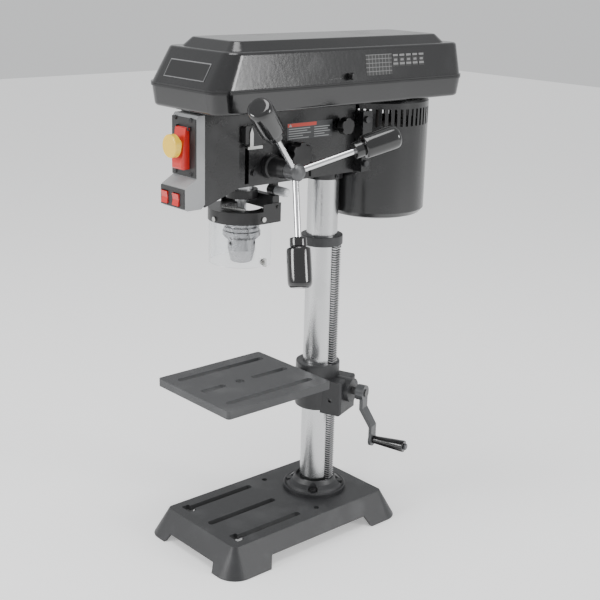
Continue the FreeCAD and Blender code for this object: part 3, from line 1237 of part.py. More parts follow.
# ============================================================================= table
def bracket():
    collar = soften_part(cylinder("bracket_radius", "bracket_high - bracket_low", 0, 0,
                                  "bracket_low"), 1.5, lambda edge: edge.Length > 100)
    arm = cylinder("tilt_disc", "-arm_front - 28", 0, "arm_front", "tilt_z", "Y")
    boss = cylinder(10, 20, "-28", 0, 225, "-X")
    housing = soften_part(span(20, "housing_out", "-housing_half", "housing_half",
                               "housing_low", "housing_high"), 4,
                          lambda edge: edge.BoundBox.XMin > size("housing_out") - 0.1)
    neck = cylinder("crank_boss", "crank_boss_out - 20", 20, 0, "crank_z", "X")
    side = turned(fuse(housing, neck), size("rack_turn"))
    rail = span(20, "rack_tip + gap * 2", "-rack_wide / 2 - 0.4", "rack_wide / 2 + 0.4", 150, 300)
    well = cylinder("worm_radius + 0.5", 16, "rack_tip - 1", 0, "crank_z", "X")
    gear_room = cylinder("lift_tip + gap + 0.1", "2 * lift_half + 0.6", "lift_axis",
                         "-lift_half - 0.3", "lift_z", "Y")
    trunnion = cylinder("3 + fit", "2 * housing_half + 2", "lift_axis", "-housing_half - 1",
                        "lift_z", "Y")
    shaft = cylinder("lift_shaft + fit", 60, "rack_tip", 0, "crank_z", "X")
    inside = turned(fuse(rail, well, gear_room, trunnion, shaft), size("rack_turn"))
    node("table_bracket", cut(
        fuse(collar, arm, boss, side),
        cylinder("bracket_hole", 200, 0, 0, 150),
        cylinder("tilt_bolt + fit", 14, 0, "arm_front - 1", "tilt_z", "Y"),
        cylinder("4 + fit", 30, -20, 0, 225, "-X"), inside))


def worm_shaft():
    """The crank's shaft with a single-start thread that turns the lifting gear."""
    pitch, outer = size("lift_pitch"), size("worm_radius")
    core = 5.5
    helix = Part.makeHelix(pitch, 2 * pitch, core)
    base, tip = 0.95, 0.42
    section = Part.makePolygon([V(core - 0.4, 0, -base), V(core, 0, -base), V(outer, 0, -tip),
                                V(outer, 0, tip), V(core, 0, base), V(core - 0.4, 0, base),
                                V(core - 0.4, 0, -base)])
    thread = Part.Wire(helix.Edges).makePipeShell([section], True, True)
    start = size("lift_axis") - pitch / 2
    shaft = Part.makeCylinder(core, 46 - start, V(0, 0, -1.5))
    long = Part.makeCylinder(size("lift_shaft"), size("crank_out") + 2 - 44, V(0, 0, 44 - start))
    worm = thread.fuse([shaft.fuse(long)])
    whole = put(shaped("Worm", worm), "lift_axis - lift_pitch / 2", 0, "crank_z", "X")
    node("lift_shaft", turned(bundle(whole), size("rack_turn")))


def lift_gear():
    gear = gear_solid(int(size("lift_teeth")), size("lift_pitch") / math.pi,
                      2 * size("lift_half"), 0)
    teeth = put(shaped("LiftTeeth", gear), "lift_axis", 0, "lift_z", "Y")
    pin = cylinder(3, "2 * housing_half - 6", "lift_axis", "3 - housing_half", "lift_z", "Y")
    node("lift_gear", turned(fuse(teeth, pin), size("rack_turn")))


def crank():
    hub = cylinder("crank_hub", "crank_out - crank_in", "crank_in", 0, "crank_z", "X")
    low = "crank_z - crank_long"
    bar = extrude([("crank_in + 7", "crank_z + 6"), ("crank_out", "crank_z + 6"),
                   ("crank_out", "crank_z - 24"), ("crank_tip", f"{low} + 24"),
                   ("crank_tip", low), ("crank_tip - 5", low), ("crank_tip - 5", f"{low} + 22"),
                   ("crank_in + 7", "crank_z - 26")], "XZ", -9, 9)
    eye = cylinder(10.5, 5, "crank_tip - 5", 0, low, "X")
    pin = cylinder(3, "grip_out + 2 - crank_tip", "crank_tip - 1", 0, low, "X")
    head = soften_part(cylinder(5, 3, "grip_out + gap / 2", 0, low, "X"), 1,
                       lambda edge: edge.BoundBox.XMin > size("grip_out") + 2)
    bore = cylinder("lift_shaft + fit", 30, "crank_in - 1", 0, "crank_z", "X")
    node("crank_arm", turned(cut(fuse(hub, bar, eye, pin, head), bore), size("rack_turn")))
    end = "grip_out - crank_tip - 2 * gap"
    grip = revolve([("3 + fit", 0), ("crank_grip - 2", 0), ("crank_grip - 1.5", 8),
                    ("crank_grip", 28), ("crank_grip + 1.5", f"{end} - 2"),
                    ("crank_grip + 0.5", end), ("3 + fit", end)],
                   "crank_tip + gap", 0, low, "X")
    node("crank_grip", turned(bundle(grip), size("rack_turn")))


def table():
    body = body_named("table")
    top = rounded(body_sketch(body, "XY", "table_low"), "-table_half", "table_half",
                  "table_front", "table_rear", 5)
    pad(body, top, "table_thick")
    hollow = rounded(body_sketch(body, "XY", "table_low"), "7 - table_half", "table_half - 7",
                     "table_front + 7", "table_rear - 14", 4)
    pocket(body, hollow, "table_thick - 6", back=True)
    lug = circle(body_sketch(body, "XZ", "-table_rear"), 0, "tilt_z", "tilt_disc")
    pad(body, lug, "lug_thick")
    for u, low, high in (("-table_slot_x", "table_slot_from", "table_slot_to"),
                         ("table_slot_x", "table_slot_from", "table_slot_to"),
                         ("0", "table_slot_from", "table_front_slot_to"),
                         ("0", "table_rear_slot_from", "table_slot_to")):
        slot = rounded(body_sketch(body, "XY", "table_top"), f"{u} - table_slot_wide / 2",
                       f"{u} + table_slot_wide / 2", low, high, "slot_round")
        pocket(body, slot, "table_thick + 1")
    hole = circle(body_sketch(body, "XY", "table_top"), 0, "spindle_y", "table_hole")
    pocket(body, hole, "table_thick + 1")
    pivot = circle(body_sketch(body, "XZ", "-table_rear + lug_thick + 1"), 0, "tilt_z",
                   "tilt_bolt + fit")
    pocket(body, pivot, "lug_thick + 2")


def table_fittings():
    face = "table_rear - lug_thick - gap"
    node("tilt_bolt", fuse(prism(9, 7, 0, face, "tilt_z", "-Y"),
                           cylinder("tilt_bolt", "lug_thick + gap * 2 + 11", 0, face, "tilt_z",
                                    "Y")))
    hub = cylinder(8, 9, "-48.3", 0, 225, "-X")
    stud = cylinder(4, 25, "-25", 0, 225, "-X")
    arm = span(-56, -50, -3, 3, 185, 222)
    node("table_lock", fuse(hub, stud, arm, ball(7, -53, 0, 182)))


# ======================================================================= chuck guard
def guard():
    ring = cut(cylinder("collar_out", 12, 0, "spindle_y", "quill_low + 1"),
               cylinder("quill_hole", 14, 0, "spindle_y", "quill_low"))
    bar = cut(span("-ear_out", "ear_out", "guard_hinge_y - 8", "guard_hinge_y + 4",
                   "frame_high + 0.5", "quill_low + 7"),
              cylinder("quill_hole", 14, 0, "spindle_y", "quill_low"))
    neck = cut(span(-12, 12, "spindle_y + quill_radius + 3", "guard_hinge_y", "quill_low + 1",
                    "quill_low + 7"),
               cylinder("quill_hole", 14, 0, "spindle_y", "quill_low"))
    ears, pins = [], []
    for side in (-1, 1):
        low, high = ("-ear_out", "3.7 - ear_out") if side < 0 else ("ear_out - 3.7", "ear_out")
        ears.append(span(low, high, "guard_hinge_y - 8", "guard_hinge_y + 4", "frame_high - 0.5",
                         "quill_low + 7"))
        along, start = ("-X", "1 - ear_out") if side < 0 else ("X", "ear_out - 1")
        pins.append(cylinder(2.45, 4.6, start, "guard_hinge_y", "guard_hinge_z", along))
    node("guard_collar", fuse(ring, bar, neck, *ears, *pins))
    strap = cut(cylinder("frame_radius", "frame_high - frame_low", 0, "spindle_y", "frame_low"),
                cylinder("frame_bore", "frame_high", 0, "spindle_y", "frame_low - 1"))
    plate = cylinder("frame_radius", "frame_sheet", 0, "spindle_y", "frame_high - frame_sheet")
    ring_plate = fuse(strap, plate)
    front = cut(ring_plate, span(-90, 90, "guard_rear - 2", 0, 400, 600))
    cheeks = []
    for side in (-1, 1):
        low, high = (("-frame_radius", "-frame_bore") if side < 0
                     else ("frame_bore", "frame_radius"))
        cheeks.append(span(low, high, "spindle_y", "cheek_rear", "frame_low", "cheek_high"))
    node("guard_frame", cut(
        fuse(front, *cheeks),
        cylinder(29, 40, 0, "spindle_y", "frame_low"),
        cylinder("2.45 + fit", 200, -100, "guard_hinge_y", "guard_hinge_z", "X"),
        *[guard_hole(turn, z) for turn, z in GUARD_SCREWS]))
    glass = cut(cylinder("guard_radius", "guard_high - guard_low", 0, "spindle_y", "guard_low"),
                cylinder("guard_bore", "guard_high", 0, "spindle_y", 300),
                span(-90, 90, "guard_rear", 0, 400, 600),
                *[guard_hole(turn, z) for turn, z in GUARD_SCREWS],
                cylinder("2 + fit", 60, 20, "spindle_y", 459, "X"))
    node("guard_shell", glass)
    screws = []
    for turn, z in GUARD_SCREWS:
        angle = math.radians(turn)
        out = V(math.cos(angle), math.sin(angle), 0)
        foot = V(0, size("spindle_y"), z) + out * (size("guard_bore") - 1)
        shank = Part.makeCylinder(1.5, size("frame_radius") - size("guard_bore") + 1, foot, out)
        head = Part.makeCylinder(3.6, 2.2, foot + out * (size("frame_radius")
                                                         - size("guard_bore") + 1), out)
        screws.append(shaped("GuardScrew", shank.fuse(head)))
    wing = fuse(cylinder(2, "guard_wall + 7", "guard_bore - 1", "spindle_y", 459, "X"),
                cylinder(4.5, 3, "guard_radius + 0.05", "spindle_y", 459, "X"),
                span("guard_radius + 2", "guard_radius + 9", "spindle_y - 1", "spindle_y + 1",
                     453, 465))
    node("guard_screws", bundle(*screws, wing))


GUARD_SCREWS = ((-90, 519), (0, 521), (180, 521))


def guard_hole(turn, z):
    """A radial screw hole through the guard's walls."""
    angle = math.radians(turn)
    out = V(math.cos(angle), math.sin(angle), 0)
    foot = V(0, size("spindle_y"), z) + out * (size("guard_bore") - 3)
    return shaped("ScrewHole", Part.makeCylinder(1.5 + size("fit"), 12, foot, out))


# =========================================================================== build
base()
column_flange()
flange_bolts()
column()
rack_collar()
rack()
head_casting()
head_screws()
spring_cup()
return_spring()
depth_stop_block()
depth_pointer()
work_lamp()
quill()
bearings()
spindle()
chuck()
feed_shaft()
feed_hub()
feed_handles()
switch_box()
switch_panels()
switch_parts()
belt_case()
belt_cover()
cover_latch()
pulleys_and_belt()
motor()
knobs()
bracket()
worm_shaft()
lift_gear()
crank()
table()
table_fittings()
guard()

doc.recompute()
for thing in doc.Objects:
    if "Invalid" in thing.State or "Error" in thing.State:
        raise RuntimeError(f"{thing.Name} ({thing.Label}) failed: {thing.State}")
for thing in NODES:
    if thing.Shape.isNull() or not thing.Shape.isValid() or not thing.Shape.Solids:
        raise RuntimeError(f"{thing.Label} has no good shape")

os.makedirs("parts", exist_ok=True)
for thing in NODES:
    thing.Shape.exportStep(f"parts/{thing.Label}.step")
print(len(NODES), "parts written")
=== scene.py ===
import math

import bpy
import numpy as np
from mathutils import Matrix


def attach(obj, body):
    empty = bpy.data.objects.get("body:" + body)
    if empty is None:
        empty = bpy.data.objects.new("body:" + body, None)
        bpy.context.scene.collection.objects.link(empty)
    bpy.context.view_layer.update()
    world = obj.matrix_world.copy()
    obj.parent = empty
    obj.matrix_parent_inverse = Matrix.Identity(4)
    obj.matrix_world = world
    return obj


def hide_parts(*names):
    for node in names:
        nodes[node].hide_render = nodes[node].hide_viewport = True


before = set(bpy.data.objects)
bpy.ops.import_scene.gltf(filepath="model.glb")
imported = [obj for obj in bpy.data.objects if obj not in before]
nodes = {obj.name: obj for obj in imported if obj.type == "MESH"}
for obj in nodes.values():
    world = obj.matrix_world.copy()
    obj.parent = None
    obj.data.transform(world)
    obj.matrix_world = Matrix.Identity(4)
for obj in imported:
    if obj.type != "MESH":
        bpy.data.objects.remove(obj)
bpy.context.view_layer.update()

# ------------------------------------------------------------------ camera
# A long lens stands a little above the belt case, off the operator's right
# front corner, and is rolled by a degree and a half.
azimuth, elevation, roll = map(math.radians, (47.975, 16.975, 1.5))
distance = 1.794
aim_height = 0.3601
aim_left = 0.031
right = np.array([math.cos(azimuth), math.sin(azimuth), 0.0])
back = np.array([math.sin(azimuth) * math.cos(elevation),
                 -math.cos(azimuth) * math.cos(elevation), math.sin(elevation)])
up = np.cross(back, right)
across = math.cos(roll) * right + math.sin(roll) * up
upward = -math.sin(roll) * right + math.cos(roll) * up
eye = np.array([0.0, 0.0, aim_height]) - aim_left * right + distance * back
camera_data = bpy.data.cameras.new("camera")
camera_data.lens = 68.41
camera = bpy.data.objects.new("camera", camera_data)
bpy.context.scene.collection.objects.link(camera)
pose = np.eye(4)
pose[:3, 0], pose[:3, 1], pose[:3, 2], pose[:3, 3] = across, upward, back, eye
camera.matrix_world = Matrix(pose)
bpy.context.scene.camera = camera

# ---------------------------------------------------------- floor and light
# A pale floor that glows faintly, in a pale grey room. Soft square lamps stand
# at the left front, at the right rear and above, so that black paint shows
# long soft reflections.


def surface(name, points, around=False, closed_ends=False, smooth=True):
    """A mesh from a grid of points (rows, columns, 3): each square of four neighbours is
    one face, the columns join up when the grid goes around, and the end rows can close."""
    rows, columns = points.shape[:2]
    index = np.arange(rows * columns).reshape(rows, columns)
    if around:
        index = np.hstack([index, index[:, :1]])
    faces = np.stack([index[:-1, :-1], index[:-1, 1:], index[1:, 1:], index[1:, :-1]], axis=-1)
    faces = faces.reshape(-1, 4).tolist()
    if closed_ends:
        faces.append(index[0, :columns][::-1].tolist())
        faces.append(index[-1, :columns].tolist())
    mesh = bpy.data.meshes.new(name)
    mesh.from_pydata(points.reshape(-1, 3).tolist(), [], faces)
    mesh.polygons.foreach_set("use_smooth", [smooth] * len(faces))
    mesh.update()
    piece = bpy.data.objects.new(name, mesh)
    bpy.context.scene.collection.objects.link(piece)
    return piece


half_floor = 6.0
corner = np.array([-half_floor, half_floor])
floor_x, floor_y = np.meshgrid(corner, corner)
floor = surface("floor", np.stack([floor_x, floor_y, 0 * floor_x - 0.0005], axis=-1))
white = bpy.data.materials.new("floor_white")
white.use_nodes = True
white_shader = white.node_tree.nodes["Principled BSDF"]
white_shader.inputs["Base Color"].default_value = (0.86, 0.86, 0.86, 1)
white_shader.inputs["Roughness"].default_value = 0.75
white_shader.inputs["Emission Color"].default_value = (1, 1, 1, 1)
white_shader.inputs["Emission Strength"].default_value = 0.38
floor.data.materials.append(white)


def soft_lamp(name, place, target, size, power):
    """A square lamp that faces a target."""
    data = bpy.data.lights.new(name, "AREA")
    data.size = size
    data.energy = power
    lamp = bpy.data.objects.new(name, data)
    bpy.context.scene.collection.objects.link(lamp)
    look = np.array(place) - np.array(target)
    look = look / np.linalg.norm(look)
    side = np.cross([0.0, 0.0, 1.0], look)
    side = side / np.linalg.norm(side)
    turn = np.eye(4)
    turn[:3, 0], turn[:3, 1], turn[:3, 2] = side, np.cross(look, side), look
    turn[:3, 3] = place
    lamp.matrix_world = Matrix(turn)


middle = (0.0, -0.05, 0.45)
soft_lamp("lamp_left", (-0.7, -2.4, 1.3), middle, 0.9, 40)
soft_lamp("lamp_right", (2.4, 1.1, 1.2), middle, 0.8, 34)
soft_lamp("lamp_above", (0.3, -0.5, 2.6), middle, 1.3, 34)
world = bpy.data.worlds.new("room")
world.use_nodes = True
world.node_tree.nodes["Background"].inputs["Color"].default_value = (0.93, 0.94, 0.95, 1)
world.node_tree.nodes["Background"].inputs["Strength"].default_value = 0.80
bpy.context.scene.world = world

# ------------------------------------------------------------ powder coating
# The base, flange, collar, bracket and table are iron castings with a dark
# grey powder coat: a fine orange-peel grain and lighter rubbed patches.


def new_group(name, inputs, outputs):
    """An empty shader group with named float inputs and outputs."""
    group = bpy.data.node_groups.new(name, "ShaderNodeTree")
    for label, number in inputs:
        socket = group.interface.new_socket(label, in_out="INPUT", socket_type="NodeSocketFloat")
        socket.default_value = number
    for label in outputs:
        group.interface.new_socket(label, in_out="OUTPUT", socket_type="NodeSocketFloat")
    return group, group.nodes.new("NodeGroupInput"), group.nodes.new("NodeGroupOutput")


def placed_noise(group, scale_from, detail, stretch=(1, 1, 1)):
    """Noise on the piece's own coordinates, its scale read from a group input."""
    place = group.nodes.new("ShaderNodeTexCoord")
    mapping = group.nodes.new("ShaderNodeMapping")
    mapping.inputs["Scale"].default_value = stretch
    noise = group.nodes.new("ShaderNodeTexNoise")
    noise.inputs["Detail"].default_value = detail
    group.links.new(place.outputs["Object"], mapping.inputs["Vector"])
    group.links.new(mapping.outputs["Vector"], noise.inputs["Vector"])
    group.links.new(scale_from, noise.inputs["Scale"])
    return noise.outputs["Fac"]


def spread(group, value, low, high):
    """Stretches a value so that low becomes 0 and high becomes 1."""
    ramp = group.nodes.new("ShaderNodeMapRange")
    ramp.inputs["From Min"].default_value = low
    ramp.inputs["From Max"].default_value = high
    group.links.new(value, ramp.inputs["Value"])
    return ramp.outputs["Result"]


grain, grain_in, grain_out = new_group("grain", [("Scale", 900)], ["Height"])
grain.links.new(spread(grain, placed_noise(grain, grain_in.outputs["Scale"], 2), 0.35, 0.65),
                grain_out.inputs["Height"])
rubbed, rubbed_in, rubbed_out = new_group("rubbed", [("Scale", 20)], ["Mask"])
rubbed.links.new(spread(rubbed, placed_noise(rubbed, rubbed_in.outputs["Scale"], 7), 0.52, 0.80),
                 rubbed_out.inputs["Mask"])
streaks, streaks_in, streaks_out = new_group("streaks", [("Scale", 1)], ["Height"])
streaks.links.new(spread(streaks, placed_noise(streaks, streaks_in.outputs["Scale"], 3,
                                               (6, 6, 1100)), 0.3, 0.7),
                  streaks_out.inputs["Height"])


def finish(name, colour, worn_colour, rough, worn_rough, metal=0.0, coat=0.0, pattern=grain,
           pattern_scale=900, bump=0.06, depth=0.0002, patch=20):
    """A material: a colour and roughness that pass to worn ones in rubbed patches, with a
    fine pattern raised by a bump."""
    material = bpy.data.materials.new(name)
    material.use_nodes = True
    tree = material.node_tree
    shader = tree.nodes["Principled BSDF"]
    shader.inputs["Metallic"].default_value = metal
    shader.inputs["Coat Weight"].default_value = coat
    shader.inputs["Coat Roughness"].default_value = 0.12
    wear = tree.nodes.new("ShaderNodeGroup")
    wear.node_tree = rubbed
    wear.inputs["Scale"].default_value = patch
    blend = tree.nodes.new("ShaderNodeMix")
    blend.data_type = "RGBA"
    blend.inputs["A"].default_value = (*colour, 1)
    blend.inputs["B"].default_value = (*worn_colour, 1)
    tree.links.new(wear.outputs["Mask"], blend.inputs["Factor"])
    tree.links.new(blend.outputs["Result"], shader.inputs["Base Color"])
    sheen = tree.nodes.new("ShaderNodeMapRange")
    sheen.inputs["To Min"].default_value = rough
    sheen.inputs["To Max"].default_value = worn_rough
    tree.links.new(wear.outputs["Mask"], sheen.inputs["Value"])
    tree.links.new(sheen.outputs["Result"], shader.inputs["Roughness"])
    relief = tree.nodes.new("ShaderNodeGroup")
    relief.node_tree = pattern
    relief.inputs["Scale"].default_value = pattern_scale
    raised = tree.nodes.new("ShaderNodeBump")
    raised.inputs["Strength"].default_value = bump
    raised.inputs["Distance"].default_value = depth
    tree.links.new(relief.outputs["Height"], raised.inputs["Height"])
    tree.links.new(raised.outputs["Normal"], shader.inputs["Normal"])
    return material


def paint(piece, material):
    """Gives a piece one material in all its slots."""
    piece.data.materials.clear()
    piece.data.materials.append(material)


def paint_nodes(material, *names):
    """Gives the named CAD pieces one material."""
    for name in names:
        paint(nodes[name], material)


powder = finish("powder_grey", (0.022, 0.0225, 0.024), (0.040, 0.041, 0.043), 0.42, 0.33,
                pattern_scale=1100, bump=0.35, depth=0.00025)
paint_nodes(powder, "base", "column_flange", "rack_collar", "table_bracket")
table_paint = finish("table_grey", (0.036, 0.037, 0.039), (0.060, 0.061, 0.063), 0.40, 0.30,
                     pattern_scale=1100, bump=0.35, depth=0.00025)
paint_nodes(table_paint, "table")

# ------------------------------------------------------- column, rack, rods
# The column is a drawn steel tube, turned and polished, so its fine lines run
# round it. The rack is milled bar with painted shade in its tooth gaps, the worm
# and its gear are oiled, the feed rods are plated and the bolts are blued.

steel = finish("column_steel", (0.56, 0.565, 0.57), (0.47, 0.475, 0.48), 0.26, 0.34, metal=1.0,
               pattern=streaks, pattern_scale=1, bump=0.10, depth=0.0001, patch=9)
paint_nodes(steel, "column")
milled = finish("rack_steel", (0.46, 0.465, 0.47), (0.34, 0.34, 0.345), 0.33, 0.42, metal=1.0,
                pattern_scale=700, bump=0.08)
paint_nodes(milled, "quill", "spindle", "head_bearings", "quill_bearings", "slide_rods",
            "return_spring")
oiled = finish("oiled_steel", (0.10, 0.10, 0.10), (0.17, 0.17, 0.165), 0.36, 0.44, metal=0.8,
               pattern_scale=700, bump=0.1)
paint_nodes(oiled, "lift_shaft", "lift_gear")
# Painted shade on the rack: a mask of dark bands in its tooth gaps, one per tooth pitch, read from
# each point's height.
rack_gap_shade, teeth_in, gap_shade_out = new_group("rack_gap_shade", [("Pitch", 0.003927), ("Start", 0.2075)],
                                            ["Mask"])
teeth_place = rack_gap_shade.nodes.new("ShaderNodeTexCoord")
teeth_height = rack_gap_shade.nodes.new("ShaderNodeSeparateXYZ")
teeth_wrap = rack_gap_shade.nodes.new("ShaderNodeMath")
teeth_wrap.operation = "PINGPONG"
teeth_half = rack_gap_shade.nodes.new("ShaderNodeMath")
teeth_half.operation = "MULTIPLY"
teeth_half.inputs[1].default_value = 0.5
rack_gap_shade.links.new(teeth_place.outputs["Object"], teeth_height.inputs["Vector"])
teeth_shift = rack_gap_shade.nodes.new("ShaderNodeMath")
teeth_shift.operation = "SUBTRACT"
rack_gap_shade.links.new(teeth_height.outputs["Z"], teeth_shift.inputs[0])
rack_gap_shade.links.new(teeth_in.outputs["Start"], teeth_shift.inputs[1])
rack_gap_shade.links.new(teeth_shift.outputs["Value"], teeth_wrap.inputs[0])
rack_gap_shade.links.new(teeth_in.outputs["Pitch"], teeth_half.inputs[0])
rack_gap_shade.links.new(teeth_half.outputs["Value"], teeth_wrap.inputs[1])
rack_gap_shade.links.new(spread(rack_gap_shade, teeth_wrap.outputs["Value"], 0.0007, 0.0013),
                     gap_shade_out.inputs["Mask"])
rack_metal = finish("rack_metal", (0.46, 0.465, 0.47), (0.34, 0.34, 0.345), 0.33, 0.42,
                    metal=1.0, pattern_scale=700, bump=0.08)
rack_tree = rack_metal.node_tree
rack_shader = rack_tree.nodes["Principled BSDF"]
rack_shade_mask = rack_tree.nodes.new("ShaderNodeGroup")
rack_shade_mask.node_tree = rack_gap_shade
rack_shade_blend = rack_tree.nodes.new("ShaderNodeMix")
rack_shade_blend.data_type = "RGBA"
# The dark colour is painted shade for the tooth gaps; the light colour is the tooth metal.
rack_shade_blend.inputs["A"].default_value = (0.035, 0.035, 0.035, 1)
rack_shade_blend.inputs["B"].default_value = (0.50, 0.50, 0.505, 1)
rack_tree.links.new(rack_shade_mask.outputs["Mask"], rack_shade_blend.inputs["Factor"])
rack_tree.links.new(rack_shade_blend.outputs["Result"], rack_shader.inputs["Base Color"])
paint_nodes(rack_metal, "rack")
plated = finish("plated_rod", (0.72, 0.72, 0.73), (0.64, 0.64, 0.65), 0.10, 0.18, metal=1.0,
                pattern_scale=500, bump=0.02)
paint_nodes(plated, "feed_rods")
zinc = finish("zinc_screw", (0.50, 0.50, 0.49), (0.38, 0.37, 0.35), 0.28, 0.42, metal=1.0,
              pattern_scale=1500, bump=0.08, patch=60)
paint_nodes(zinc, "tilt_bolt", "guard_screws", "depth_pointer")
blued = finish("blued_screw", (0.045, 0.045, 0.047), (0.09, 0.09, 0.09), 0.34, 0.44, metal=0.7,
               pattern_scale=1500, bump=0.08, patch=60)
paint_nodes(blued, "flange_bolts", "head_screws", "plate_bolts")
dark_hub = finish("dark_hub", (0.10, 0.101, 0.104), (0.17, 0.17, 0.172), 0.34, 0.28, metal=0.6,
                  pattern_scale=900, bump=0.08)
paint_nodes(dark_hub, "feed_shaft")

# ------------------------------------------------------ head, case and motor
# The head is a casting in satin black, and the belt case below its cover is a
# pressing in gloss black. The motor's shell is a drawn can in the same paint
# as the head, a little greyer, with a row of louvres at the top.

head_paint = finish("head_black", (0.0065, 0.0065, 0.007), (0.013, 0.013, 0.014), 0.27, 0.36,
                    coat=0.25, pattern_scale=420, bump=0.22, depth=0.0003)
paint_nodes(head_paint, "head_casting", "motor_plate")
case_paint = finish("case_black", (0.0055, 0.0055, 0.006), (0.010, 0.010, 0.011), 0.20, 0.30,
                    coat=0.4, pattern_scale=260, bump=0.10, depth=0.0003)
paint_nodes(case_paint, "belt_case")
motor_paint = finish("motor_black", (0.0085, 0.0086, 0.009), (0.016, 0.016, 0.017), 0.24, 0.34,
                     coat=0.3, pattern_scale=420, bump=0.12, depth=0.0003)
paint_nodes(motor_paint, "motor_shell", "motor_end_caps")
winding = finish("stator_steel", (0.10, 0.09, 0.085), (0.16, 0.14, 0.13), 0.5, 0.6, metal=0.7,
                 pattern_scale=600, bump=0.2)
paint_nodes(winding, "stator", "rotor")
cast_alloy = finish("cast_alloy", (0.42, 0.42, 0.425), (0.33, 0.33, 0.335), 0.36, 0.46,
                    metal=1.0, pattern_scale=500, bump=0.15)
paint_nodes(cast_alloy, "spindle_pulley", "motor_pulley")
belt_rubber = finish("belt_rubber", (0.012, 0.012, 0.012), (0.03, 0.03, 0.03), 0.65, 0.8,
                     pattern_scale=1400, bump=0.4)
paint_nodes(belt_rubber, "drive_belt")

# ------------------------------------------------------------------ the cover
# The cover is moulded in gloss black plastic with a faint ripple. Its front
# slope carries a raised blank badge, and its side a printed speed chart.

cover_plastic = finish("cover_black", (0.0075, 0.0075, 0.008), (0.013, 0.013, 0.014), 0.21,
                       0.31, coat=0.35, pattern_scale=170, bump=0.10, depth=0.0004, patch=12)
paint_nodes(cover_plastic, "belt_cover")
satin = finish("satin_black", (0.008, 0.008, 0.0085), (0.016, 0.016, 0.017), 0.38, 0.45,
               pattern_scale=1200, bump=0.2)
paint_nodes(satin, "cover_latch", "spring_cup", "depth_stop_block", "feed_hub", "table_lock",
            "tension_lever")


def plaque(name, corners, thick):
    """A thin closed slab: its front has four corners (low left, low right, high right, high
    left), and its back is the same outline sunk by a thickness."""
    rim = np.array(corners, dtype=float)
    normal = np.cross(rim[1] - rim[0], rim[3] - rim[0])
    normal = normal / np.linalg.norm(normal)
    loops = np.stack([rim - normal * thick, rim])
    return surface(name, loops, around=True, closed_ends=True, smooth=False)


def printed(name, ground, ink, axis_across, axis_up, cells, line, origin, ink_rough=0.5):
    """A printed sheet: a grid of thin ink lines whose spacing is given across and up."""
    material = bpy.data.materials.new(name)
    material.use_nodes = True
    tree = material.node_tree
    shader = tree.nodes["Principled BSDF"]
    shader.inputs["Roughness"].default_value = ink_rough
    place = tree.nodes.new("ShaderNodeTexCoord")
    split = tree.nodes.new("ShaderNodeSeparateXYZ")
    tree.links.new(place.outputs["Object"], split.inputs["Vector"])
    marks = []
    for axis, pitch, start in ((axis_across, cells[0], origin[0]),
                               (axis_up, cells[1], origin[1])):
        shift = tree.nodes.new("ShaderNodeMath")
        shift.operation = "SUBTRACT"
        shift.inputs[1].default_value = start
        tree.links.new(split.outputs[axis], shift.inputs[0])
        wrap = tree.nodes.new("ShaderNodeMath")
        wrap.operation = "PINGPONG"
        wrap.inputs[1].default_value = pitch / 2
        tree.links.new(shift.outputs["Value"], wrap.inputs[0])
        edge = tree.nodes.new("ShaderNodeMath")
        edge.operation = "LESS_THAN"
        edge.inputs[1].default_value = line
        tree.links.new(wrap.outputs["Value"], edge.inputs[0])
        marks.append(edge.outputs["Value"])
    either = tree.nodes.new("ShaderNodeMath")
    either.operation = "MAXIMUM"
    tree.links.new(marks[0], either.inputs[0])
    tree.links.new(marks[1], either.inputs[1])
    blend = tree.nodes.new("ShaderNodeMix")
    blend.data_type = "RGBA"
    blend.inputs["A"].default_value = (*ground, 1)
    blend.inputs["B"].default_value = (*ink, 1)
    tree.links.new(either.outputs["Value"], blend.inputs["Factor"])
    tree.links.new(blend.outputs["Result"], shader.inputs["Base Color"])
    return material


# Heights of the cover's lip and shoulder, and where its walls are at each.
cover_low, cover_shoulder = 0.7069, 0.7568
flank_low, flank_high = 0.083, 0.0755
front_low, front_high = -0.2684, -0.2387


def on_flank(y, z, proud):
    """A point on the cover's right flank, which leans in evenly from its lip to its shoulder,
    moved outwards by proud."""
    part = (z - cover_low) / (cover_shoulder - cover_low)
    return (flank_low + (flank_high - flank_low) * part + proud, y, z)


def on_front(x, z, proud):
    """A point on the cover's front slope, by the same even lean."""
    part = (z - cover_low) / (cover_shoulder - cover_low)
    return (x, front_low + (front_high - front_low) * part - proud, z)


chart_ink = (0.16, 0.16, 0.16)
plain_ink = finish("printed_grey", chart_ink, (0.12, 0.12, 0.12), 0.5, 0.55, pattern_scale=900,
                   bump=0.02)
black_sheet = finish("sheet_black", (0.010, 0.010, 0.010), (0.016, 0.016, 0.016), 0.4, 0.45,
                     pattern_scale=900, bump=0.04)


def add_label(name, corners, thick, material, body):
    """A printed sheet or block that rides on a body."""
    piece = plaque(name, corners, thick)
    paint(piece, material)
    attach(piece, body)
    return piece


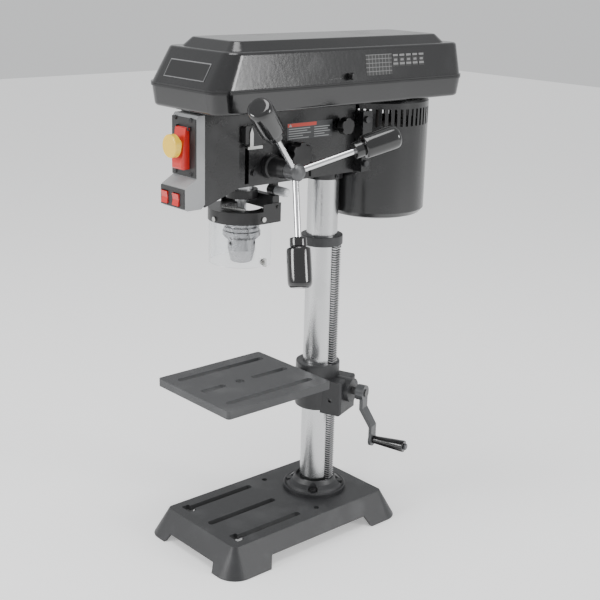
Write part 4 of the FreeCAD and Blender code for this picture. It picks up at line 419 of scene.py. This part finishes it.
grid_ink = printed("chart_grid", (0.012, 0.012, 0.012), chart_ink, "Y", "Z",
                   (0.0068, 0.0058), 0.00035, (0.0016, 0.716))
chart_from, chart_low, chart_high = 0.002, 0.7165, 0.7455
narrow_to = 0.055
add_label("speed_chart_grid", [on_flank(chart_from, chart_low, 0.0002),
                               on_flank(narrow_to, chart_low, 0.0002),
                               on_flank(narrow_to, chart_high, 0.0002),
                               on_flank(chart_from, chart_high, 0.0002)], 0.0004, grid_ink,
          "cover")
picture_pitch, picture_wide = 0.0138, 0.0118
for k in range(5):
    y0 = narrow_to + 0.002 + picture_pitch * k
    y1 = y0 + picture_wide
    panel = add_label(f"speed_picture_{k + 1}", [
        on_flank(y0, 0.727, 0.0002), on_flank(y1, 0.727, 0.0002),
        on_flank(y1, 0.740, 0.0002), on_flank(y0, 0.740, 0.0002)], 0.0004, black_sheet,
        "cover")
    for row, (low, high) in enumerate(((0.7415, 0.7445), (0.7295, 0.7325), (0.735, 0.738))):
        inset = 0.0008 + 0.0018 * (row == 2)
        add_label(f"speed_mark_{k + 1}_{row + 1}", [
            on_flank(y0 + inset, low, 0.0005), on_flank(y1 - inset, low, 0.0005),
            on_flank(y1 - inset, high, 0.0005), on_flank(y0 + inset, high, 0.0005)], 0.0004,
            plain_ink, "cover")

badge_half, badge_low, badge_high, badge_line = 0.045, 0.718, 0.741, 0.0013
badge_field = finish("badge_field", (0.010, 0.010, 0.0105), (0.018, 0.018, 0.018), 0.34, 0.4,
                     pattern_scale=700, bump=0.05)
badge_edge = finish("badge_edge", (0.22, 0.22, 0.225), (0.17, 0.17, 0.175), 0.32, 0.4, metal=0.4,
                    pattern_scale=700, bump=0.05)
add_label("badge_rim", [on_front(-badge_half, badge_low, 0.0007),
                        on_front(badge_half, badge_low, 0.0007),
                        on_front(badge_half, badge_high, 0.0007),
                        on_front(-badge_half, badge_high, 0.0007)], 0.001, badge_edge, "cover")
inner = badge_half - badge_line
add_label("badge_face", [on_front(-inner, badge_low + badge_line, 0.0010),
                         on_front(inner, badge_low + badge_line, 0.0010),
                         on_front(inner, badge_high - badge_line, 0.0010),
                         on_front(-inner, badge_high - badge_line, 0.0010)], 0.0008,
          badge_field, "cover")

# -------------------------------------------------------- the warning sheet
# A printed sheet on the head's right flank: a red strip with a pale triangle
# above two blocks of short plain lines.

head_side = 0.035
sheet_y0, sheet_y1, sheet_z0, sheet_z1 = -0.1065, -0.0185, 0.626, 0.6505


def on_head(y0, y1, z0, z1, proud):
    """The four corners of a rectangle that stands proud of the head's right flank."""
    x = head_side + proud
    return [(x, y0, z0), (x, y1, z0), (x, y1, z1), (x, y0, z1)]


sheet_ground = finish("sheet_ground", (0.030, 0.031, 0.033), (0.045, 0.046, 0.048), 0.42, 0.5,
                      pattern_scale=900, bump=0.04)
sheet_red = finish("sheet_red", (0.42, 0.035, 0.02), (0.34, 0.03, 0.018), 0.42, 0.5,
                   pattern_scale=900, bump=0.03)
sheet_line = finish("sheet_line", (0.26, 0.27, 0.27), (0.20, 0.21, 0.21), 0.5, 0.5,
                    pattern_scale=900, bump=0.02)
add_label("warning_sheet", on_head(sheet_y0, sheet_y1, sheet_z0, sheet_z1, 0.0003), 0.0006,
          sheet_ground, "stand")
add_label("warning_strip", on_head(sheet_y0 + 0.001, sheet_y0 + 0.056, 0.6448, 0.6497, 0.0005),
          0.0004, sheet_red, "stand")
mark_side = head_side + 0.0008
add_label("warning_triangle", [(mark_side, sheet_y0 + 0.0030, 0.6452),
                               (mark_side, sheet_y0 + 0.0086, 0.6452),
                               (mark_side, sheet_y0 + 0.0060, 0.6494),
                               (mark_side, sheet_y0 + 0.0056, 0.6494)], 0.0003, sheet_line,
          "stand")
line_ends = (0.93, 0.80, 0.97, 0.62, 0.88)
first_line, line_pitch = 0.6425, 0.0034
for block, (start, wide) in enumerate(((sheet_y0 + 0.003, 0.044), (sheet_y0 + 0.052, 0.033))):
    for row, reach in enumerate(line_ends):
        z = first_line - line_pitch * row
        add_label(f"warning_line_{block + 1}_{row + 1}",
                  on_head(start, start + wide * reach, z - 0.0011, z, 0.0005), 0.0004,
                  sheet_line, "stand")

# --------------------------------------------------------------- the switch
# A grey moulded box on the head's nose. Its black plates carry a red stop
# paddle with a yellow button, and two red rockers in the step below.

switch_grey = finish("switch_grey", (0.30, 0.305, 0.31), (0.25, 0.255, 0.26), 0.42, 0.5,
                     pattern_scale=1300, bump=0.15)
paint_nodes(switch_grey, "switch_box")
plate_black = finish("plate_black", (0.020, 0.0205, 0.021), (0.032, 0.032, 0.033), 0.45, 0.5,
                     pattern_scale=1500, bump=0.3)
paint_nodes(plate_black, "switch_panels")
switch_red = finish("switch_red", (0.56, 0.022, 0.018), (0.46, 0.02, 0.018), 0.26, 0.34,
                    coat=0.3, pattern_scale=900, bump=0.06)
paint_nodes(switch_red, "stop_paddle", "rocker_left", "rocker_right")
button_yellow = finish("button_yellow", (0.86, 0.56, 0.04), (0.76, 0.48, 0.04), 0.28, 0.36,
                       coat=0.3, pattern_scale=900, bump=0.06)
paint_nodes(button_yellow, "paddle_button")

# ----------------------------------------------------- handles and hand knobs
# The grips are moulded in gloss black plastic on plated rods. Each is a solid
# of revolution with a stepped neck, a swelling body and a domed end.


def turned_profile(stations, count):
    """A smooth profile through (along, radius) stations: Catmull-Rom interpolation, so each
    station is met and the slope there is half the step between its neighbours."""
    knots = np.array(stations, dtype=float)
    padded = np.vstack([2 * knots[0] - knots[1], knots, 2 * knots[-1] - knots[-2]])
    t = np.linspace(0, len(knots) - 1, count)
    k = np.minimum(t.astype(int), len(knots) - 2)
    f = (t - k)[:, None]
    p0, p1, p2, p3 = padded[k], padded[k + 1], padded[k + 2], padded[k + 3]
    curve = 0.5 * (2 * p1 + (p2 - p0) * f + (2 * p0 - 5 * p1 + 4 * p2 - p3) * f ** 2
                   + (3 * p1 - p0 - 3 * p2 + p3) * f ** 3)
    return np.clip(curve, [-1, 1e-5], None)


def lathe(name, profile, foot, along, sides=64, wave=None):
    """A profile turned about an axis from a foot point: radius times (cosine, sine) in the
    plane across the axis; a wave may scale the radius with the angle."""
    along = np.array(along, dtype=float)
    along = along / np.linalg.norm(along)
    spare = np.array([0.0, 0.0, 1.0]) if abs(along[2]) < 0.9 else np.array([0.0, 1.0, 0.0])
    u = np.cross(spare, along)
    u = u / np.linalg.norm(u)
    v = np.cross(along, u)
    angle = np.linspace(0, 2 * math.pi, sides, endpoint=False)
    scale = np.ones(sides) if wave is None else wave(angle)
    ring = np.cos(angle)[:, None] * u + np.sin(angle)[:, None] * v
    points = (np.array(foot) + profile[:, 0, None, None] * along
              + profile[:, 1, None, None] * scale[None, :, None] * ring[None])
    return surface(name, points, around=True, closed_ends=True)


grip_plastic = finish("grip_black", (0.0060, 0.0060, 0.0063), (0.010, 0.010, 0.0105), 0.13,
                      0.20, coat=0.5, pattern_scale=300, bump=0.03, patch=30)
hub = np.array([0.0895, -0.1376, 0.593])
lean = math.radians(19.4)
handle_phase = 17.4
grip_stations = [(0.0920, 0.0047), (0.0921, 0.0106), (0.0928, 0.0117), (0.0980, 0.0119),
                 (0.1035, 0.0119), (0.1043, 0.0112), (0.1052, 0.0112), (0.1060, 0.0148),
                 (0.1075, 0.0163), (0.1110, 0.0169), (0.1250, 0.0172), (0.1400, 0.0173),
                 (0.1530, 0.0171), (0.1575, 0.0162), (0.1602, 0.0141), (0.1612, 0.0110),
                 (0.1614, 0.0060), (0.1615, 0.0001)]
grip_pieces = []
for k in range(3):
    turn = math.radians(handle_phase + 120 * k)
    direction = np.array([math.sin(lean), math.cos(lean) * math.cos(turn),
                          math.cos(lean) * math.sin(turn)])
    grip = lathe(f"feed_grip_{k + 1}", turned_profile(grip_stations, 120), hub, direction)
    paint(grip, grip_plastic)
    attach(grip, "feed")
    grip_pieces.append(grip)
for grip in grip_pieces:
    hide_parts("feed_grips")

radial = np.array([math.cos(math.radians(20)), math.sin(math.radians(20)), 0.0])
crank_stations = [(0.1034, 0.0045), (0.1035, 0.0058), (0.1042, 0.0063), (0.1110, 0.0067),
                  (0.1220, 0.0074), (0.1340, 0.0082), (0.1460, 0.0089), (0.1545, 0.0094),
                  (0.1558, 0.0093), (0.1563, 0.0085), (0.1564, 0.0050)]
crank_grip = lathe("crank_handle_grip", turned_profile(crank_stations, 80),
                   np.array([0.0, 0.0, 0.147]), radial)
paint(crank_grip, grip_plastic)
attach(crank_grip, "crank_handle")
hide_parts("crank_grip")
crank_paint = finish("crank_grey", (0.075, 0.077, 0.08), (0.12, 0.12, 0.125), 0.36, 0.3,
                     metal=0.3, pattern_scale=900, bump=0.15)
paint_nodes(crank_paint, "crank_arm")
knob_plastic = finish("knob_black", (0.0065, 0.0065, 0.007), (0.012, 0.012, 0.012), 0.32, 0.4,
                      pattern_scale=1100, bump=0.15)
paint_nodes(knob_plastic, "tension_knob", "slide_lock_knob")

# ------------------------------------------------------- chuck and its guard
# The chuck is ground steel with a toothed ring. The guard is a clear moulded
# half tube under a black sheet-metal frame, with a plated spring on top.

chuck_steel = finish("chuck_steel", (0.36, 0.36, 0.37), (0.28, 0.28, 0.29), 0.26, 0.36,
                     metal=1.0, pattern_scale=900, bump=0.08)
paint_nodes(chuck_steel, "chuck_body", "chuck_sleeve", "chuck_jaw_1", "chuck_jaw_2",
            "chuck_jaw_3")
guard_black = finish("guard_black", (0.010, 0.010, 0.0105), (0.02, 0.02, 0.021), 0.34, 0.42,
                     pattern_scale=900, bump=0.15)
paint_nodes(guard_black, "guard_collar", "guard_frame")
clear = bpy.data.materials.new("clear_guard")
clear.use_nodes = True
clear_shader = clear.node_tree.nodes["Principled BSDF"]
clear_shader.inputs["Base Color"].default_value = (0.93, 0.945, 0.955, 1)
clear_shader.inputs["Transmission Weight"].default_value = 1.0
clear_shader.inputs["IOR"].default_value = 1.46
haze = clear.node_tree.nodes.new("ShaderNodeGroup")
haze.node_tree = rubbed
haze.inputs["Scale"].default_value = 30
haze_range = clear.node_tree.nodes.new("ShaderNodeMapRange")
haze_range.inputs["To Min"].default_value = 0.03
haze_range.inputs["To Max"].default_value = 0.12
clear.node_tree.links.new(haze.outputs["Mask"], haze_range.inputs["Value"])
clear.node_tree.links.new(haze_range.outputs["Result"], clear_shader.inputs["Roughness"])
paint_nodes(clear, "guard_shell")


def tube_along(name, path, radius, sides=10):
    """A round wire along a path: at each point a circle stands across the path, on axes that
    come from the path's direction and a fixed spare direction."""
    ahead = np.gradient(path, axis=0)
    ahead = ahead / np.linalg.norm(ahead, axis=1, keepdims=True)
    spare = np.array([0.31, 0.17, 0.93])
    u = np.cross(ahead, spare)
    u = u / np.linalg.norm(u, axis=1, keepdims=True)
    v = np.cross(ahead, u)
    angle = np.linspace(0, 2 * math.pi, sides, endpoint=False)
    rings = (path[:, None] + radius * (np.cos(angle)[None, :, None] * u[:, None]
                                       + np.sin(angle)[None, :, None] * v[:, None]))
    return surface(name, rings, around=True, closed_ends=True)


def coil_path(start, end, radius, turns, count):
    """A helix round the line from start to end, its radius shrinking to a small part at the
    ends like a spring's closing hooks."""
    start, end = np.array(start), np.array(end)
    along = (end - start) / np.linalg.norm(end - start)
    u = np.cross(along, [0.0, 0.0, 1.0])
    u = u / np.linalg.norm(u)
    v = np.cross(along, u)
    t = np.linspace(0, 1, count)
    swell = np.clip(np.minimum(t, 1 - t) / 0.1, 0.15, 1)
    angle = 2 * math.pi * turns * t
    ring = np.cos(angle)[:, None] * u + np.sin(angle)[:, None] * v
    return start + t[:, None] * (end - start) + radius * swell[:, None] * ring


spring = tube_along("guard_spring", coil_path((-0.002, -0.1960, 0.5352), (0.037, -0.1815, 0.5352),
                                              0.0027, 16, 640), 0.0006)
paint(spring, zinc)
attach(spring, "guard")

# ------------------------------------------------------------- the work lamp
# A small frosted bulb lies under the head in a black socket.

lamp_axis = np.array([1.0, 0.0, 0.0])
bulb_stations = [(0.0140, 0.0058), (0.0145, 0.0066), (0.0170, 0.0070), (0.0280, 0.0070),
                 (0.0350, 0.0067), (0.0385, 0.0052), (0.0397, 0.0028), (0.0400, 0.0001)]
lamp_place = np.array([0.0, -0.106, 0.551])
bulb = lathe("lamp_bulb", turned_profile(bulb_stations, 60), lamp_place, lamp_axis)
frosted = finish("frosted_bulb", (0.72, 0.73, 0.74), (0.62, 0.63, 0.64), 0.35, 0.45,
                 pattern_scale=600, bump=0.05)
paint(bulb, frosted)
socket_stations = [(0.0, 0.0070), (0.0003, 0.0078), (0.0020, 0.0080), (0.0120, 0.0080),
                   (0.0136, 0.0078), (0.0139, 0.0070)]
socket = lathe("lamp_socket", turned_profile(socket_stations, 40), lamp_place, lamp_axis)
paint(socket, satin)
stalk_square = np.array([[0.002, -0.111], [0.012, -0.111], [0.012, -0.101], [0.002, -0.101]])
stalk_levels = np.array([0.557, 0.5675])
stalk_points = np.concatenate([np.repeat(stalk_square[None], 2, axis=0),
                               np.repeat(stalk_levels[:, None, None], 4, axis=1)], axis=2)
stalk = surface("lamp_stalk", stalk_points, around=True, closed_ends=True, smooth=False)
paint(stalk, satin)
for piece in (bulb, socket, stalk):
    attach(piece, "stand")
    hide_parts("work_lamp")
